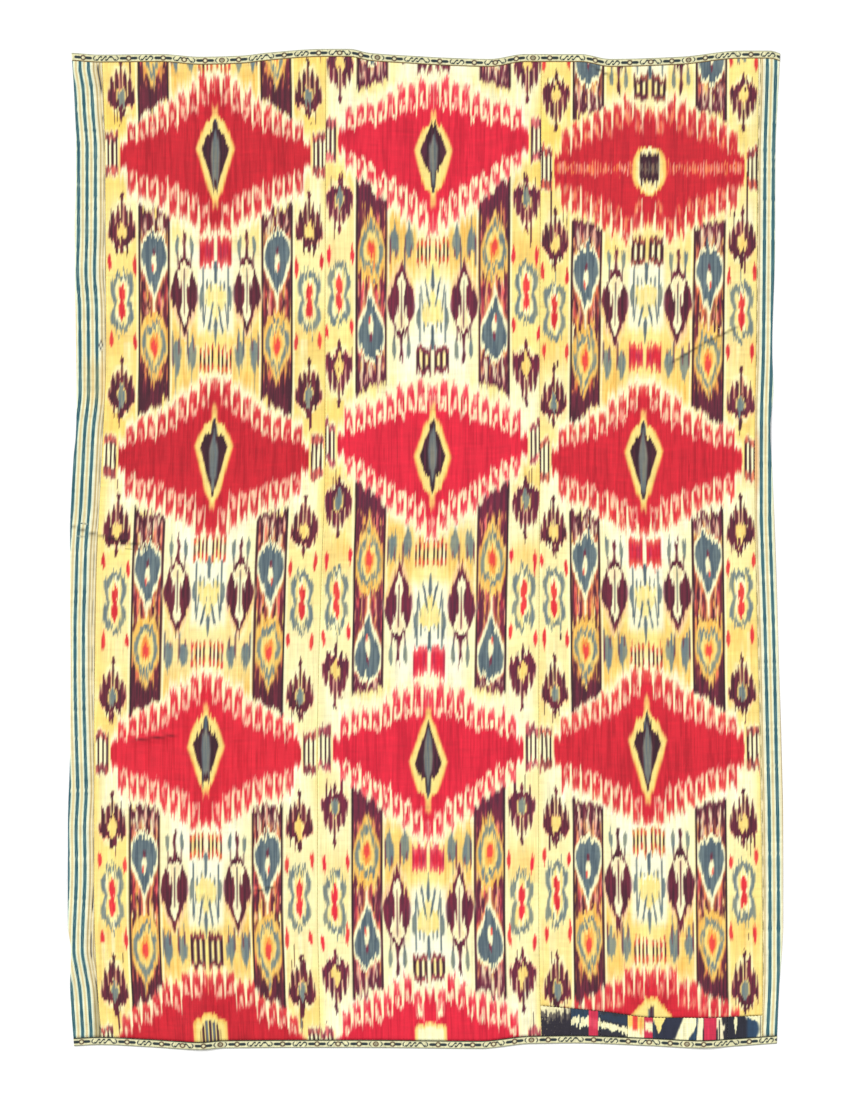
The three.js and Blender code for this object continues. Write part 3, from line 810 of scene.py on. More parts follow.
# What a repeat of the chart is where its row below says nothing else. tip is where the medallion's tips
# lie, and way is 1 where the chart runs down the cloth, -1 where up. first and second say how the two
# blocks of bars were dyed, and second_top where the second starts. slips tells how far some bundles had
# slipped along the chart: those of the middle, the slate drop and the ring drop. halo is how bleached the
# ground is around the medallion. eye gives the dark drop's top, widest place and bottom on the chart, its
# half width and how hollow its flanks are. arch is a lowest medallion's instead, and tops are its
# fingertips where they are shorter.
PLAIN_REPEAT = dict(
    way=1, stretch=1.0, first="thin", second="thin", second_top=194, slips=(0, 0, 0), halo=0.88, dyes={},
    tops=None, folded=False, from_tip=False,
)
LEFT_TOPS = (-77, -77, -77, -63, -65, -54, -44, -41, -32, -11)
RIGHT_TOPS = (-78, -79, -81, -67, -63, -56, -49, -45, -40, -18)

# The repeats of each loom width from the top down.
LEFT_REPEATS = [
    dict(tip=1276, eye=(-37, -5, 42, 13.8, 0.45, 1.1), second="dark"),
    dict(tip=726, stretch=0.997, eye=(-37, -5, 42, 13.8, 0.45, 1.1), first="crimson", second="dark"),
    dict(tip=170, stretch=1.012, eye=(-38, -10, 41, 13.6, 0.4, 1.0), slips=(-7, 10, 4)),
    dict(tip=-372, stretch=1.01, eye=(-39, -7, 32, 13.0, 0.45, 0.9), first="dark", second="outlined",
         second_top=186, slips=(-2, 4, 7), dyes=ROSY_DYES),
    dict(tip=-915, arch=(-37, 17, 12, 10), tops=LEFT_TOPS, halo=0.3),
]
CENTRE_REPEATS = [
    dict(tip=751, way=-1, eye=(-52, -11, 15, 13.2, 0.5, 0.6), first="outlined", second="dark",
         slips=(-16, 0, 0)),
    dict(tip=195, way=-1, stretch=0.987, eye=(-50, -13, 24, 13.0, 0.4, 1.0), first="outlined",
         second="dark", slips=(-15, 6, 0)),
    dict(tip=-364, way=-1, stretch=0.98, eye=(-49, -13, 26, 13.4, 0.5, 1.1), first="crimson", second="dark",
         slips=(-15, -12, -8)),
    dict(tip=-920, way=-1, stretch=0.987, folded=True, arch=(-28, 16, 3, 0), first="outlined",
         second="crimson", slips=(-16, 3, 3)),
]
RIGHT_REPEATS = [
    dict(tip=699, way=-1, stretch=1.027, folded=True, from_tip=True, first="outlined", second="dark",
         slips=(-15, 8, 0), halo=0.4, dyes=FOLDED_DYES),
    dict(tip=699, stretch=1.027, folded=True, from_tip=True, first="outlined", second="crimson",
         slips=(-13, 4, 5), halo=0.4, dyes=FOLDED_DYES),
    dict(tip=165, stretch=1.04, eye=(-38, -8, 41, 13.6, 0.42, 1.0), first="crimson", slips=(0, 0, 5)),
    dict(tip=-362, eye=(-34, -5, 45, 13.6, 0.45, 1.1), slips=(-2, 11, 3)),
    dict(tip=-917, arch=(-54, 21, 22, 3), tops=RIGHT_TOPS, halo=0.3, dyes=LOW_RIGHT_DYES),
]
# How far a width's middle line lies from the middle between its seams, from the top down.
STRAIGHT = [(920, 0), (-920, 0)]
RIGHT_DRIFT = [(920, 0), (733, 0), (458, -5), (183, -8), (-93, -5), (-362, -4), (-827, -1)]


def with_tops(bundles, tops):
    """The bundles with other fingertips. Each body's end moves along with its fingertip."""
    return [(low, high, tip, bottom, body_top + tip - top, body_bottom)
            for (low, high, top, bottom, body_top, body_bottom), tip in zip(bundles, tops)]


def dye_width(cloth, repeats, medallion):
    """Dyes a loom width by its repeats: all the ground first, then the motifs, then the medallions."""
    drawn = []
    for row in repeats:
        item = {**PLAIN_REPEAT, **row}
        r = cloth.repeat(item["tip"], item["way"], item["stretch"], item["from_tip"])
        bundles = FOLDED_MEDALLION if item["folded"] else medallion
        if item["tops"]:
            bundles = with_tops(bundles, item["tops"])
        r.dye = {**cloth.dyes, **item["dyes"]}
        if len(r.rows):
            drawn.append((r, item, bundles))
    for r, _, _ in drawn:
        draw_ground(r)
    tone_ground(cloth)
    for r, item, bundles in drawn:
        draw_medallion_halo(r, bundles, item["halo"])
    for r, item, _ in drawn:
        draw_motifs(r, item)
    for r, item, bundles in drawn:
        draw_medallion(r, bundles)
        if "arch" in item:
            draw_arch(r.steadied(), item["way"], *item["arch"])
        elif "eye" in item:
            draw_eye(r.steadied(), *item["eye"])
        else:
            draw_folded_eye(r.steadied(), item["way"])
    cloth.wear(strip=2.3, size=0.024, knot=40.0, weft_size=0.016)


# Borders, tapes and scraps

# The middle of a teal stripe of each border from the top down: y, x.
LEFT_STRIPE = [
    (880, -634), (843, -628), (806, -626), (733, -621), (586, -621), (513, -623), (439, -619),
    (293, -618), (219, -625), (146, -629), (72, -633), (-1, -639), (-74, -641), (-148, -643),
    (-221, -643), (-368, -640), (-441, -638), (-515, -641), (-588, -640), (-735, -645),
    (-771, -640), (-808, -634), (-882, -629),
]
RIGHT_STRIPE = [
    (880, 627), (806, 625), (733, 623), (586, 622), (366, 620), (219, 616), (146, 616), (72, 616),
    (-1, 618), (-148, 623), (-368, 628), (-515, 631), (-661, 632), (-772, 632), (-882, 628),
]
STRIPE_PITCH = 15.5
TEAL_HALF = 2.8


def dye_stripes(cloth, stripe, first, last):
    """Teal stripes with mint edges on a beige ground. stripe is the line that stripe 0 follows."""
    from_stripe = cloth.x - stripe(cloth.y)
    nearest = np.clip(np.round(from_stripe / STRIPE_PITCH), first, last)
    away = np.abs(from_stripe - nearest * STRIPE_PITCH)
    rib = slip(cloth.rng, np.zeros(cloth.x.shape, int), -cloth.y.mean(axis=1), 0.3, 6.0)
    cloth.paint(within(away, -9, 5.4, 0.8), MINT)
    cloth.paint(within(away, 7.1, 9, 0.7) * 0.4, TAN)
    tick = ease(0.5 + 2.0 * np.sin(cloth.y * 2 * np.pi / 5.5))
    cloth.paint(within(away, 0, TEAL_HALF + rib, 0.9), TEAL)
    cloth.paint(within(away, TEAL_HALF - 1.1, TEAL_HALF + 0.5, 0.7) * tick * 0.7, PALE_TEAL)


def dye_lines(cloth, stripe, lines):
    """Fine lines along a border, each with its distance from the stripe's line, dye and half width."""
    for away, shade, half in lines:
        line = moved(stripe, away)
        cloth.paint(within(np.abs(cloth.x - line(cloth.y)), -9, half, 0.8) * 0.85, shade)


def dye_dotted_line(cloth, line, half, dot, colour, strength):
    """A line of fine dark dots along the cloth."""
    dots = ease(0.6 + 1.6 * np.sin(cloth.y * 2 * np.pi / dot))
    cloth.paint(within(np.abs(cloth.x - line(cloth.y)), -9, half, 0.9) * dots * strength, colour)


def dye_left_border(cloth):
    """Three teal stripes, a beige edge with fine lines and dark dots, a small darn and a stain."""
    stripe = smooth_line(LEFT_STRIPE)
    dye_stripes(cloth, stripe, -1, 1)
    cloth.paint(within(cloth.x - stripe(cloth.y), 21, 60, 1.5) * 0.35, TAN)
    dye_lines(cloth, stripe, [
        (22.0, PALE_BEIGE, 1.4), (25.2, TAN, 0.9), (28.0, PALE_BEIGE, 0.8), (33.2, PALE_BEIGE, 1.0),
        (36.0, TAN, 0.9), (39.0, PALE_BEIGE, 0.8), (42.0, TAN, 0.7),
    ])
    top = within(cloth.y, 790, 960, 30)
    dye_dotted_line(cloth, moved(stripe, 33.0), 1.5, 5.6, INK, 0.85 * top)
    seen = 0.3 * within(cloth.y, -700, 790, 30) + 0.8 * within(cloth.y, -960, -640, 60)
    dye_dotted_line(cloth, moved(stripe, 31.6), 1.1, 6.4, INK, seen)
    cloth.paint(within(cloth.y, -960, -800, 60) * within(cloth.x, -608, -586, 8) * 0.4, OLIVE)
    knot = np.hypot((cloth.x + 596) / 4.2, (cloth.y - 373) / 8.0)
    strands = ease(0.5 + 2.0 * np.sin(cloth.y * 1.5 + cloth.x))
    cloth.paint(within(knot, -1, 1.2, 0.4) * 0.7 * strands, INK)
    cloth.paint(within(knot, -1, 1.0, 0.4) * 0.8 * (1 - strands), BLEACHED)
    stain = within(cloth.y, 268, 345, 40) * within(cloth.x, -624, -580, 20)
    cloth.paint(stain * 0.22, AMBER)


def dye_right_border(cloth):
    """Two teal stripes, fine lines, a row of olive dots and a stain."""
    stripe = smooth_line(RIGHT_STRIPE)
    dye_stripes(cloth, stripe, 0, 1)
    dye_lines(cloth, stripe, [
        (-6.5, PALE_BEIGE, 1.3), (-9.4, TAN, 0.6), (-15.0, PALE_BEIGE, 1.2), (22.5, PALE_BEIGE, 1.0),
        (24.6, TAN, 0.5),
    ])
    dye_dotted_line(cloth, moved(stripe, -12.4), 0.8, 5.2, OLIVE, 0.7)
    stain = within(cloth.y, 110, 210, 50) * within(cloth.x, 600, 612, 8)
    cloth.paint(stain * 0.35, ORANGE)


# The tape's figures, left to right, in chart units: a link is a bar, a ring and a bar, and the others are
# bracketed rows of hooks.
TAPE_FIGURES = [
    ("link", 18.5), ("long", 27.0), ("link", 18.5), ("short", 16.0), ("link", 18.5), ("ringed", 23.5),
    ("link", 18.5), ("round", 15.0),
]
TAPE_INK = (40, 52, 58)
TAPE_BROWN = (84, 60, 46)


def tape_bar(u, t, at):
    """A dark six-sided bar."""
    taper = 0.6 * np.clip(np.abs(u - at) - 2.0, 0, None)
    return ease((1.45 - np.abs(t) - taper) / 0.6 + 0.5) * within(u, at - 3.4, at + 3.4, 0.6)


def tape_ring(u, t, at, wide, high):
    """A ring, given by its half width and half height."""
    return within(np.hypot((u - at) / wide, t / high), 0.6, 1.15, 0.3)


def tape_bracket(u, t, at, way):
    """A bracket that opens to the right where way is 1."""
    curve = at - way * (1.2 - 0.30 * t * t)
    return ease((0.6 - np.abs(u - curve)) / 0.6 + 0.5) * within(t, -2.4, 2.4, 0.6)


def tape_hook(u, t, at, way):
    """A slanting stroke with its ends turned, like a short wave."""
    curve = 1.7 * np.sin(np.clip((u - at) * way, -2.6, 2.6) * np.pi / 3.8)
    return ease((0.85 - np.abs(t - curve)) / 0.6 + 0.5) * within(u, at - 3.1, at + 3.1, 0.7)


def tape_figure(kind, u, t, length):
    """One figure's blue-black and brown parts, with u from its left end."""
    middle = length / 2
    if kind == "link":
        return tape_bar(u, t, 3.8) + tape_bar(u, t, length - 3.8), tape_ring(u, t, middle, 2.6, 2.3)
    dark = tape_bracket(u, t, 2.4, 1) + tape_bracket(u, t, length - 2.4, -1)
    brown = 0.0 * u
    if kind == "round":
        brown = tape_ring(u, t, middle, 2.6, 2.2)
        dark = dark + tape_ring(u, t, middle, 0.9, 0.8)
    if kind == "short":
        dark = dark + tape_hook(u, t, 6.2, 1) + tape_hook(u, t, 10.6, 1)
    if kind == "ringed":
        dark = dark + tape_hook(u, t, 6.4, 1) + tape_hook(u, t, length - 6.4, -1)
        brown = tape_ring(u, t, middle, 2.6, 2.2)
    if kind == "long":
        dark = dark + sum(tape_hook(u, t, at, 1) for at in (6.4, 11.2, 16.0)) + tape_hook(u, t, 20.8, -1)
    return dark, brown


def dye_tape(cloth, middle, start, seam_side, seam_colour, seam_strength):
    """Dark figures on a straw ground. seam_side is 1 where the tape's upper edge is the sewn one."""
    u = (cloth.x - start) / UNIT
    t = (cloth.y - middle) / UNIT
    cloth.paint(within(np.abs(t), 3.1, 3.9, 0.6) * 0.55, TAPE_INK)
    place = 0.0
    turn = 0
    while place < u.max():
        kind, length = TAPE_FIGURES[turn % len(TAPE_FIGURES)]
        local = u - place
        inside = within(local, -0.5, length + 0.5, 1)
        dark, brown = tape_figure(kind, local, t, length)
        cloth.paint(brown * inside * 0.9, TAPE_BROWN)
        cloth.paint(dark * inside * 0.95, TAPE_INK)
        place += length
        turn += 1
    sewn = 3.9 - t * seam_side
    cloth.paint(within(sewn, -1, 0.9, 0.6) * seam_strength, seam_colour)


def ragged_edge(cloth, x, by):
    """How far the edge of a dyed band lies from its line, thread by thread, up to some units."""
    return slip(cloth.rng, np.floor((x - x.min()) / 3.0).astype(int), -cloth.y.mean(axis=1), by, 90.0)


def dye_black_speckled(cloth, x, deep):
    """Near black with a ragged pale band on top and fine light flecks low on its left."""
    ragged = ragged_edge(cloth, x, 4.5)
    fade = within(x, 205, 264, 14)
    cloth.paint(within(deep, -5, 9 + ragged, 5) * fade * 0.95, CREAM)
    cloth.paint(within(deep, -5, 20 + 1.6 * ragged, 6) * fade * 0.3, BEIGE)
    flecks = ease(cloth.rng.normal(-1.3, 0.9, x.shape)) * within(deep, 12, 60, 12)
    cloth.paint(flecks * np.clip((262 - x) / 50, 0, 1) * 0.8, BEIGE)


def dye_blue_crimson(cloth, x, deep):
    """Blue over a ragged pale band over near black, with one crimson stripe down it."""
    cloth.paint(within(deep, 31, 60, 5), INK)
    cloth.paint(within(deep, 10, 17, 5) * 0.5, NIGHT_BLUE)
    cloth.paint(within(deep + ragged_edge(cloth, x, 3.0), 14, 30 + ragged_edge(cloth, x, 2.0), 3), CREAM)
    stripe = within(x, 299.5, 316.5, 1.4)
    cloth.paint(stripe, ROSE)
    cloth.paint(stripe * within(deep, 15, 30, 7) * 0.7, PINK)


def dye_blue_black(cloth, x, deep):
    """Blue black with a ragged pale band that slopes down to the right."""
    slope = (x - 321) * 0.12
    cloth.paint(within(deep, 33 + slope, 60, 6), INK)
    ragged = ragged_edge(cloth, x, 3.0)
    cloth.paint(within(deep, 17 + slope + ragged, 29 + slope + 0.8 * ragged_edge(cloth, x, 3.0), 3), CREAM)
    cloth.paint(within(deep, 4, 14 + slope, 5) * 0.5, NIGHT_BLUE)


def dye_yellow_stripe(cloth, x, deep):
    """Yellow with an orange stripe above cream, and crimson on its right."""
    cloth.paint(within(deep, 22, 60, 12) * within(x, 371, 402, 1.2), CREAM)
    cloth.paint(within(x, 380, 389, 2.0) * within(deep, -5, 26, 9), RED)
    cloth.paint(within(x, 393, 397, 2.0) * within(deep, 2, 34, 12) * 0.6, ORANGE)
    red = within(x, 401, 418, 1.4)
    cloth.paint(red, ROSE)
    cloth.paint(red * within(deep, 8, 26, 8) * within(x, 403, 418, 2), CREAM)


def dye_black_cream(cloth, x, deep):
    """Blue black with a yellow wedge on its left and a feathered pale slant on its right."""
    wedge = 30 - np.abs(x - 428) * 2.4
    cloth.paint(ease((wedge - deep) / 4 + 0.5) * within(x, 418, 441, 1.2), YELLOW)
    cloth.paint(within(x, 417, 421, 2) * within(deep, 4, 40, 8) * 0.5, NIGHT_BLUE)
    left = 473 - deep * 0.42
    right = 500 - (deep - 10) * 0.55
    pale = within(x, left, right, 5)
    cloth.paint(pale, CREAM)
    corner = within(x, right + 1, 499, 4) * ease((deep - 12) / 8)
    cloth.paint(corner, NIGHT_BLUE)


def dye_crimson_block(cloth, x, deep):
    """Cream with a crimson block, thin dark lines and a dark right edge."""
    cloth.paint(within(x, 496, 500 - 0.06 * deep, 1.5) * within(deep, -5, 30, 8) * 0.8, NIGHT_BLUE)
    cloth.paint(within(x, 510, 534, 1.2), ROSE)
    cloth.paint((within(x, 508, 511, 1.2) + within(x, 533, 536.5, 1.2)) * within(deep, 22, 60, 10), INK)
    cloth.paint(within(x, 509.2, 510.6, 0.8) * 0.8, INK)
    cloth.paint(within(x, 538, 540.2, 1.0) * within(deep, 4, 60, 6) * 0.9, INK)
    dark = within(x, 543 + 0.10 * deep, 556, 1.6)
    cloth.paint(dark * (1 - within(deep, 14, 24, 6) * within(x, 543, 549, 2)), INK)


def dye_black_slate(cloth, x, deep):
    """Black with a narrow pale notch, then a rounded slate block over cream."""
    notch = ease((24 - np.abs(x - 569) * 7 - np.abs(deep - 9)) / 5 + 0.5)
    cloth.paint(notch * within(x, 562, 576, 1.0), CREAM)
    cloth.paint(within(x, 588, 640, 3.0) * within(deep, -5, 7 + 0.2 * (x - 588), 5), CREAM)
    right_side = 612 - 0.02 * (deep - 24) ** 2
    cloth.paint(within(x, 600, 640, 2.5), CREAM)
    cloth.paint(within(x, 590, right_side, 7.0), NIGHT_BLUE)
    cloth.paint(within(x, 587, 612, 3.0) * within(deep, -5, 3 + 0.35 * (x - 588), 4), CREAM)
    cloth.paint(within(x, 613.8, 615.4, 0.9) * 0.7, INK)


SCRAPS = [
    dict(name="scrap_black_speckled", right=267, ground=(44, 40, 50), dye=dye_black_speckled),
    dict(name="scrap_blue_crimson", right=321, ground=(44, 64, 84), dye=dye_blue_crimson),
    dict(name="scrap_blue_black", right=371, ground=(44, 48, 58), dye=dye_blue_black),
    dict(name="scrap_yellow_stripe", right=417, ground=(244, 204, 104), dye=dye_yellow_stripe),
    dict(name="scrap_black_cream", right=497, ground=(42, 46, 64), dye=dye_black_cream),
    dict(name="scrap_crimson_block", right=554, ground=(250, 240, 196), dye=dye_crimson_block),
    dict(name="scrap_black_slate", right=640, ground=(40, 40, 52), dye=dye_black_slate),
]


# Meshes

def linear(colour):
    """Screen colours from 0 to 255 as linear light."""
    share = np.clip(colour / 255.0, 0, 1)
    return np.where(share <= 0.04045, share / 12.92, ((share + 0.055) / 1.055) ** 2.4)


def new_piece(name, points, faces, smooth):
    """A mesh object from points in millimetres."""
    mesh = bpy.data.meshes.new(name)
    mesh.from_pydata((points * METRE).tolist(), [], faces)
    mesh.polygons.foreach_set("use_smooth", smooth)
    mesh.update()
    piece = bpy.data.objects.new(name, mesh)
    bpy.context.scene.collection.objects.link(piece)
    return piece


def grid_faces(numbers):
    """Four-sided faces of a grid of point numbers, facing up."""
    corners = (numbers[:-1, :-1], numbers[:-1, 1:], numbers[1:, 1:], numbers[1:, :-1])
    return np.stack([c.ravel() for c in corners], axis=1)


def rim_sides(numbers):
    """The four edges of a grid of point numbers, in one turn with the outside on the right."""
    return [numbers[0, :], numbers[:, -1], numbers[-1, ::-1], numbers[::-1, 0]]


# How far the rim of a sheet's top lies below the rest, in thicknesses.
ROLLED = 0.45


def rumple(x, y):
    """Low waves of cloth that was pressed but has hung for years."""
    waves = np.sin(x / 47 + 1.3 * np.sin(y / 88)) * np.sin(y / 63 + np.sin(x / 71))
    small = np.sin(x / 13.0 + y / 29.0) * np.sin(y / 17.0 - x / 41.0)
    return 0.8 * (0.30 * waves + 0.10 * small)


def lay_sheet(name, cloth, thickness, step):
    """A closed sheet on the cloth's lift: a fine dyed top, a coarser underside and a rim."""
    x = cloth.x
    y = cloth.y
    under = lift(x, y)
    top = under + thickness + rumple(x, y)
    rolled = np.zeros(x.shape)
    rolled[[0, -1], :] = ROLLED
    rolled[:, [0, -1]] = ROLLED
    top = top - rolled * thickness
    coarse = (slice(None, None, step), slice(None, None, step))
    upper = np.stack([x, y, top], axis=-1).reshape(-1, 3)
    lower = np.stack([x[coarse], y[coarse], under[coarse]], axis=-1).reshape(-1, 3)
    top_numbers = np.arange(x.size).reshape(x.shape)
    low_numbers = x.size + np.arange(x[coarse].size).reshape(x[coarse].shape)
    faces = grid_faces(top_numbers).tolist() + grid_faces(low_numbers)[:, ::-1].tolist()
    smooth = [True] * len(faces)
    for high, low in zip(rim_sides(top_numbers), rim_sides(low_numbers)):
        for k in range(len(low) - 1):
            above = high[k * step:(k + 1) * step + 1][::-1]
            faces.append([int(low[k]), int(low[k + 1]), *above.tolist()])
            smooth.append(False)
    piece = new_piece(name, np.concatenate([upper, lower]), faces, smooth)
    shades = np.concatenate([cloth.colour.reshape(-1, 3), cloth.colour[coarse].reshape(-1, 3)])
    rgba = np.concatenate([linear(shades), np.ones((len(shades), 1))], axis=1)
    dye = piece.data.color_attributes.new(name="dye", type="FLOAT_COLOR", domain="POINT")
    dye.data.foreach_set("color", rgba.astype(np.float32).ravel())
    return piece


# How far the rows of stitches stay off the tapes, and how many sides a stitch has.
STITCH_MARGIN = 4
STITCH_SIDES = 5
# One stitch's rings: place in its length, height in radii, and size.
STITCH_RINGS = [(-0.5, -0.5, 0.45), (-0.3, 0.35, 1.0), (0.0, 0.6, 1.0), (0.3, 0.35, 1.0), (0.5, -0.5, 0.45)]


def sew(name, line, along_x, start, end, spacing, length, radius, above):
    """A row of small stitches along a line, each a thread that rises from the cloth and goes back in."""
    points = []
    faces = []
    for place in np.arange(start, end, spacing):
        for share, height, size in STITCH_RINGS:
            at = place + share * length
            other = float(line(at))
            x, y = (at, other) if along_x else (other, at)
            base = float(lift(x, y)) + above + height * radius
            for side in range(STITCH_SIDES):
                turn = 2 * math.pi * side / STITCH_SIDES
                sideways = math.cos(turn) * radius * size
                up = math.sin(turn) * radius * size
                shift = (0, sideways) if along_x else (sideways, 0)
                points.append((x + shift[0], y + shift[1], base + up))
        first = len(points) - len(STITCH_RINGS) * STITCH_SIDES
        for ring in range(len(STITCH_RINGS) - 1):
            for side in range(STITCH_SIDES):
                a = first + ring * STITCH_SIDES + side
                b = first + ring * STITCH_SIDES + (side + 1) % STITCH_SIDES
                faces.append([a, b, b + STITCH_SIDES, a + STITCH_SIDES])
        last = first + (len(STITCH_RINGS) - 1) * STITCH_SIDES
        faces.append([first + side for side in reversed(range(STITCH_SIDES))])
        faces.append([last + side for side in range(STITCH_SIDES)])
    return new_piece(name, np.array(points), faces, [True] * len(faces))


# Materials

def put(node, **values):
    """Sets a node's inputs. A name's underscores stand for spaces."""
    for name, value in values.items():
        node.inputs[name.replace("_", " ")].default_value = value


class Nodes:
    """A material's node tree, built by short calls."""

    def __init__(self, name):
        self.material = bpy.data.materials.new(name)
        self.material.use_nodes = True
        self.tree = self.material.node_tree
        self.shader = self.tree.nodes["Principled BSDF"]

    def add(self, kind, **settings):
        node = self.tree.nodes.new(kind)
        for key, value in settings.items():
            setattr(node, key, value)
        return node

    def link(self, source, target):
        self.tree.links.new(source, target)

    def noise(self, scale, detail, rough=0.5):
        """Noise whose grain is stretched: scale gives its counts for each metre along x, y and z."""
        place = self.add("ShaderNodeTexCoord")
        mapping = self.add("ShaderNodeMapping")
        put(mapping, Scale=scale)
        texture = self.add("ShaderNodeTexNoise")
        put(texture, Scale=1.0, Detail=detail, Roughness=rough)
        self.link(place.outputs["Object"], mapping.inputs["Vector"])
        self.link(mapping.outputs["Vector"], texture.inputs["Vector"])
        return texture.outputs["Fac"]

    def spread(self, value, low, high):
        """Noise from about 0.3 to 0.7 spread over low to high."""
        node = self.add("ShaderNodeMapRange")
        put(node, From_Min=0.3, From_Max=0.7, To_Min=low, To_Max=high)
        self.link(value, node.inputs["Value"])
        return node.outputs["Result"]

    def maths(self, operation, first, second):
        node = self.add("ShaderNodeMath", operation=operation)
        for socket, value in zip(node.inputs, (first, second)):
            if isinstance(value, (int, float)):
                socket.default_value = value
            else:
                self.link(value, socket)
        return node.outputs["Value"]

    def times(self, colour, factor):
        """A colour made lighter or darker by a factor."""
        node = self.add("ShaderNodeVectorMath", operation="SCALE")
        self.link(colour, node.inputs[0])
        self.link(factor, node.inputs["Scale"])
        return node.outputs["Vector"]

    def ribs(self, axis, pitch):
        """Waves across an axis, one for each pitch in metres."""
        place = self.add("ShaderNodeTexCoord")
        split = self.add("ShaderNodeSeparateXYZ")
        self.link(place.outputs["Object"], split.inputs["Vector"])
        turns = self.maths("MULTIPLY", split.outputs[axis], 2 * math.pi / pitch)
        return self.maths("SINE", turns, 0.0)


# Each cloth's weave: thread and weft pitch in metres, how uneven its threads are, relief and finish.
PANEL_WEAVE = dict(thread=0.0011, weft=0.0013, streak=0.05, bump=0.35, roughness=0.55, sheen=0.25)
BORDER_WEAVE = dict(thread=0.0012, weft=0.0012, streak=0.06, bump=0.5, roughness=0.85, sheen=0.15)
TAPE_WEAVE = dict(thread=0.0009, weft=0.0009, streak=0.06, bump=0.6, roughness=0.8, sheen=0.1)
SCRAP_WEAVE = dict(thread=0.0011, weft=0.0013, streak=0.08, bump=0.4, roughness=0.6, sheen=0.2)
THREAD_HEIGHT = 0.0004


def woven_material(name, thread, weft, streak, bump, roughness, sheen):
    """Dyed cloth: warp threads that took the dye unevenly, weft ribs, and a soft bloom."""
    n = Nodes(name)
    dye = n.add("ShaderNodeAttribute", attribute_name="dye")
    warp = n.spread(n.noise((1 / thread, 14, 1), 2.0), 1 - streak, 1 + streak)
    filling = n.spread(n.noise((30, 1 / weft, 1), 1.0), 1 - 0.6 * streak, 1 + 0.6 * streak)
    soil = n.spread(n.noise((5, 4, 1), 3.0, 0.6), 0.965, 1.02)
    shade = n.times(dye.outputs["Color"], n.maths("MULTIPLY", n.maths("MULTIPLY", warp, filling), soil))
    n.link(shade, n.shader.inputs["Base Color"])
    put(n.shader, Roughness=roughness, Sheen_Weight=sheen, Sheen_Roughness=0.4, Specular_IOR_Level=0.25)
    ribs = n.maths("MULTIPLY", n.ribs("Y", weft), 0.5)
    height = n.maths("ADD", ribs, n.noise((1 / thread, 40, 1), 2.0))
    relief = n.add("ShaderNodeBump")
    put(relief, Strength=bump, Distance=THREAD_HEIGHT)
    n.link(height, relief.inputs["Height"])
    n.link(relief.outputs["Normal"], n.shader.inputs["Normal"])
    return n.material


def grained_material(name, colour, grain, detail, low, high, roughness, specular):
    """One colour, in linear light, that a fine grain makes lighter and darker."""
    n = Nodes(name)
    base = n.add("ShaderNodeRGB")
    base.outputs["Color"].default_value = (*colour, 1)
    wear = n.spread(n.noise((grain, grain, grain), detail), low, high)
    n.link(n.times(base.outputs["Color"], wear), n.shader.inputs["Base Color"])
    put(n.shader, Roughness=roughness, Specular_IOR_Level=specular)
    return n.material


def thread_material(name, colour):
    """Sewing thread with slight wear."""
    shade = linear(np.array(colour, float))
    return grained_material(name, shade, grain=900, detail=2.0, low=0.8, high=1.15,
                            roughness=0.8, specular=0.5)


def floor_material():
    """A pale matt board with the faintest grain."""
    return grained_material("pale_board", (0.97, 0.97, 0.97), grain=60, detail=3.0, low=0.995,
                            high=1.005, roughness=0.9, specular=0.0)


# The stage

# The camera's view in millimetres, and its lens.
VIEW_HEIGHT = 2018.5
VIEW_MIDDLE = (2.75, -0.9)
LENS = 120.0
SENSOR = 36.0
SKY_STRENGTH = 0.71
LAMP_STRENGTH = 2.0
LAMP_SIZE = math.radians(12)
LAMP_TURN = (math.radians(-38), math.radians(-34), 0)
FLOOR_HALF = 12.0
FLOOR_DROP = 0.3


def place_camera():
    """Straight over the cloth, so far off that it looks as flat as in the photograph."""
    camera = bpy.data.cameras.new("camera")
    camera.lens = LENS
    camera.sensor_width = SENSOR
    camera.clip_end = 100
    holder = bpy.data.objects.new("camera", camera)
    distance = VIEW_HEIGHT * LENS / SENSOR
    holder.location = (VIEW_MIDDLE[0] * METRE, VIEW_MIDDLE[1] * METRE, distance * METRE)
    bpy.context.scene.collection.objects.link(holder)
    bpy.context.scene.camera = holder


def light_scene():
    """An even pale sky and one soft lamp from the upper left, which picks out the creases."""
    world = bpy.data.worlds.new("sky")
    world.use_nodes = True
    put(world.node_tree.nodes["Background"], Color=(1, 1, 1, 1), Strength=SKY_STRENGTH)
    bpy.context.scene.world = world
    lamp = bpy.data.lights.new("lamp", "SUN")
    lamp.energy = LAMP_STRENGTH
    lamp.angle = LAMP_SIZE
    holder = bpy.data.objects.new("lamp", lamp)
    holder.rotation_euler = LAMP_TURN
    bpy.context.scene.collection.objects.link(holder)
    bpy.context.scene.view_settings.view_transform = "Standard"


def lay_floor():
    """A wide board just under the cloth."""
    far = FLOOR_HALF
    points = np.array([(-far, -far, 0), (far, -far, 0), (far, far, 0), (-far, far, 0)]) / METRE
    points[:, 2] = -FLOOR_DROP
    floor = new_piece("floor", points, [[0, 1, 2, 3]], [False])
    floor.data.materials.append(floor_material())
    return floor


place_camera()
light_scene()
floor = lay_floor()

# How many steps each fine sheet has across and along, and how many of them make one of its underside's.
PANEL_COLUMNS = 240
PANEL_ROWS = 385
PANEL_STEP = 5
BORDER_COLUMNS = 64
BORDER_ROWS = 300
BORDER_STEP = 4
TAPE_COLUMNS = 1400
TAPE_ROWS = 14
TAPE_STEP = 7
SCRAP_STEP = 4
# A scrap's point spacing and about half its width, in millimetres, and the first one's seed.
SCRAP_POINT = 1.3
SCRAP_HALF = 25
SCRAP_SEED = 300


def dress(piece, node, material):
    """Puts a finished sheet in its node's place."""
    piece.data.materials.append(material)
    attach(piece, "root")
    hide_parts(node)


def straight(x):
    """A straight line along the warp at x."""
    return smooth_line([(-920, x), (920, x)])


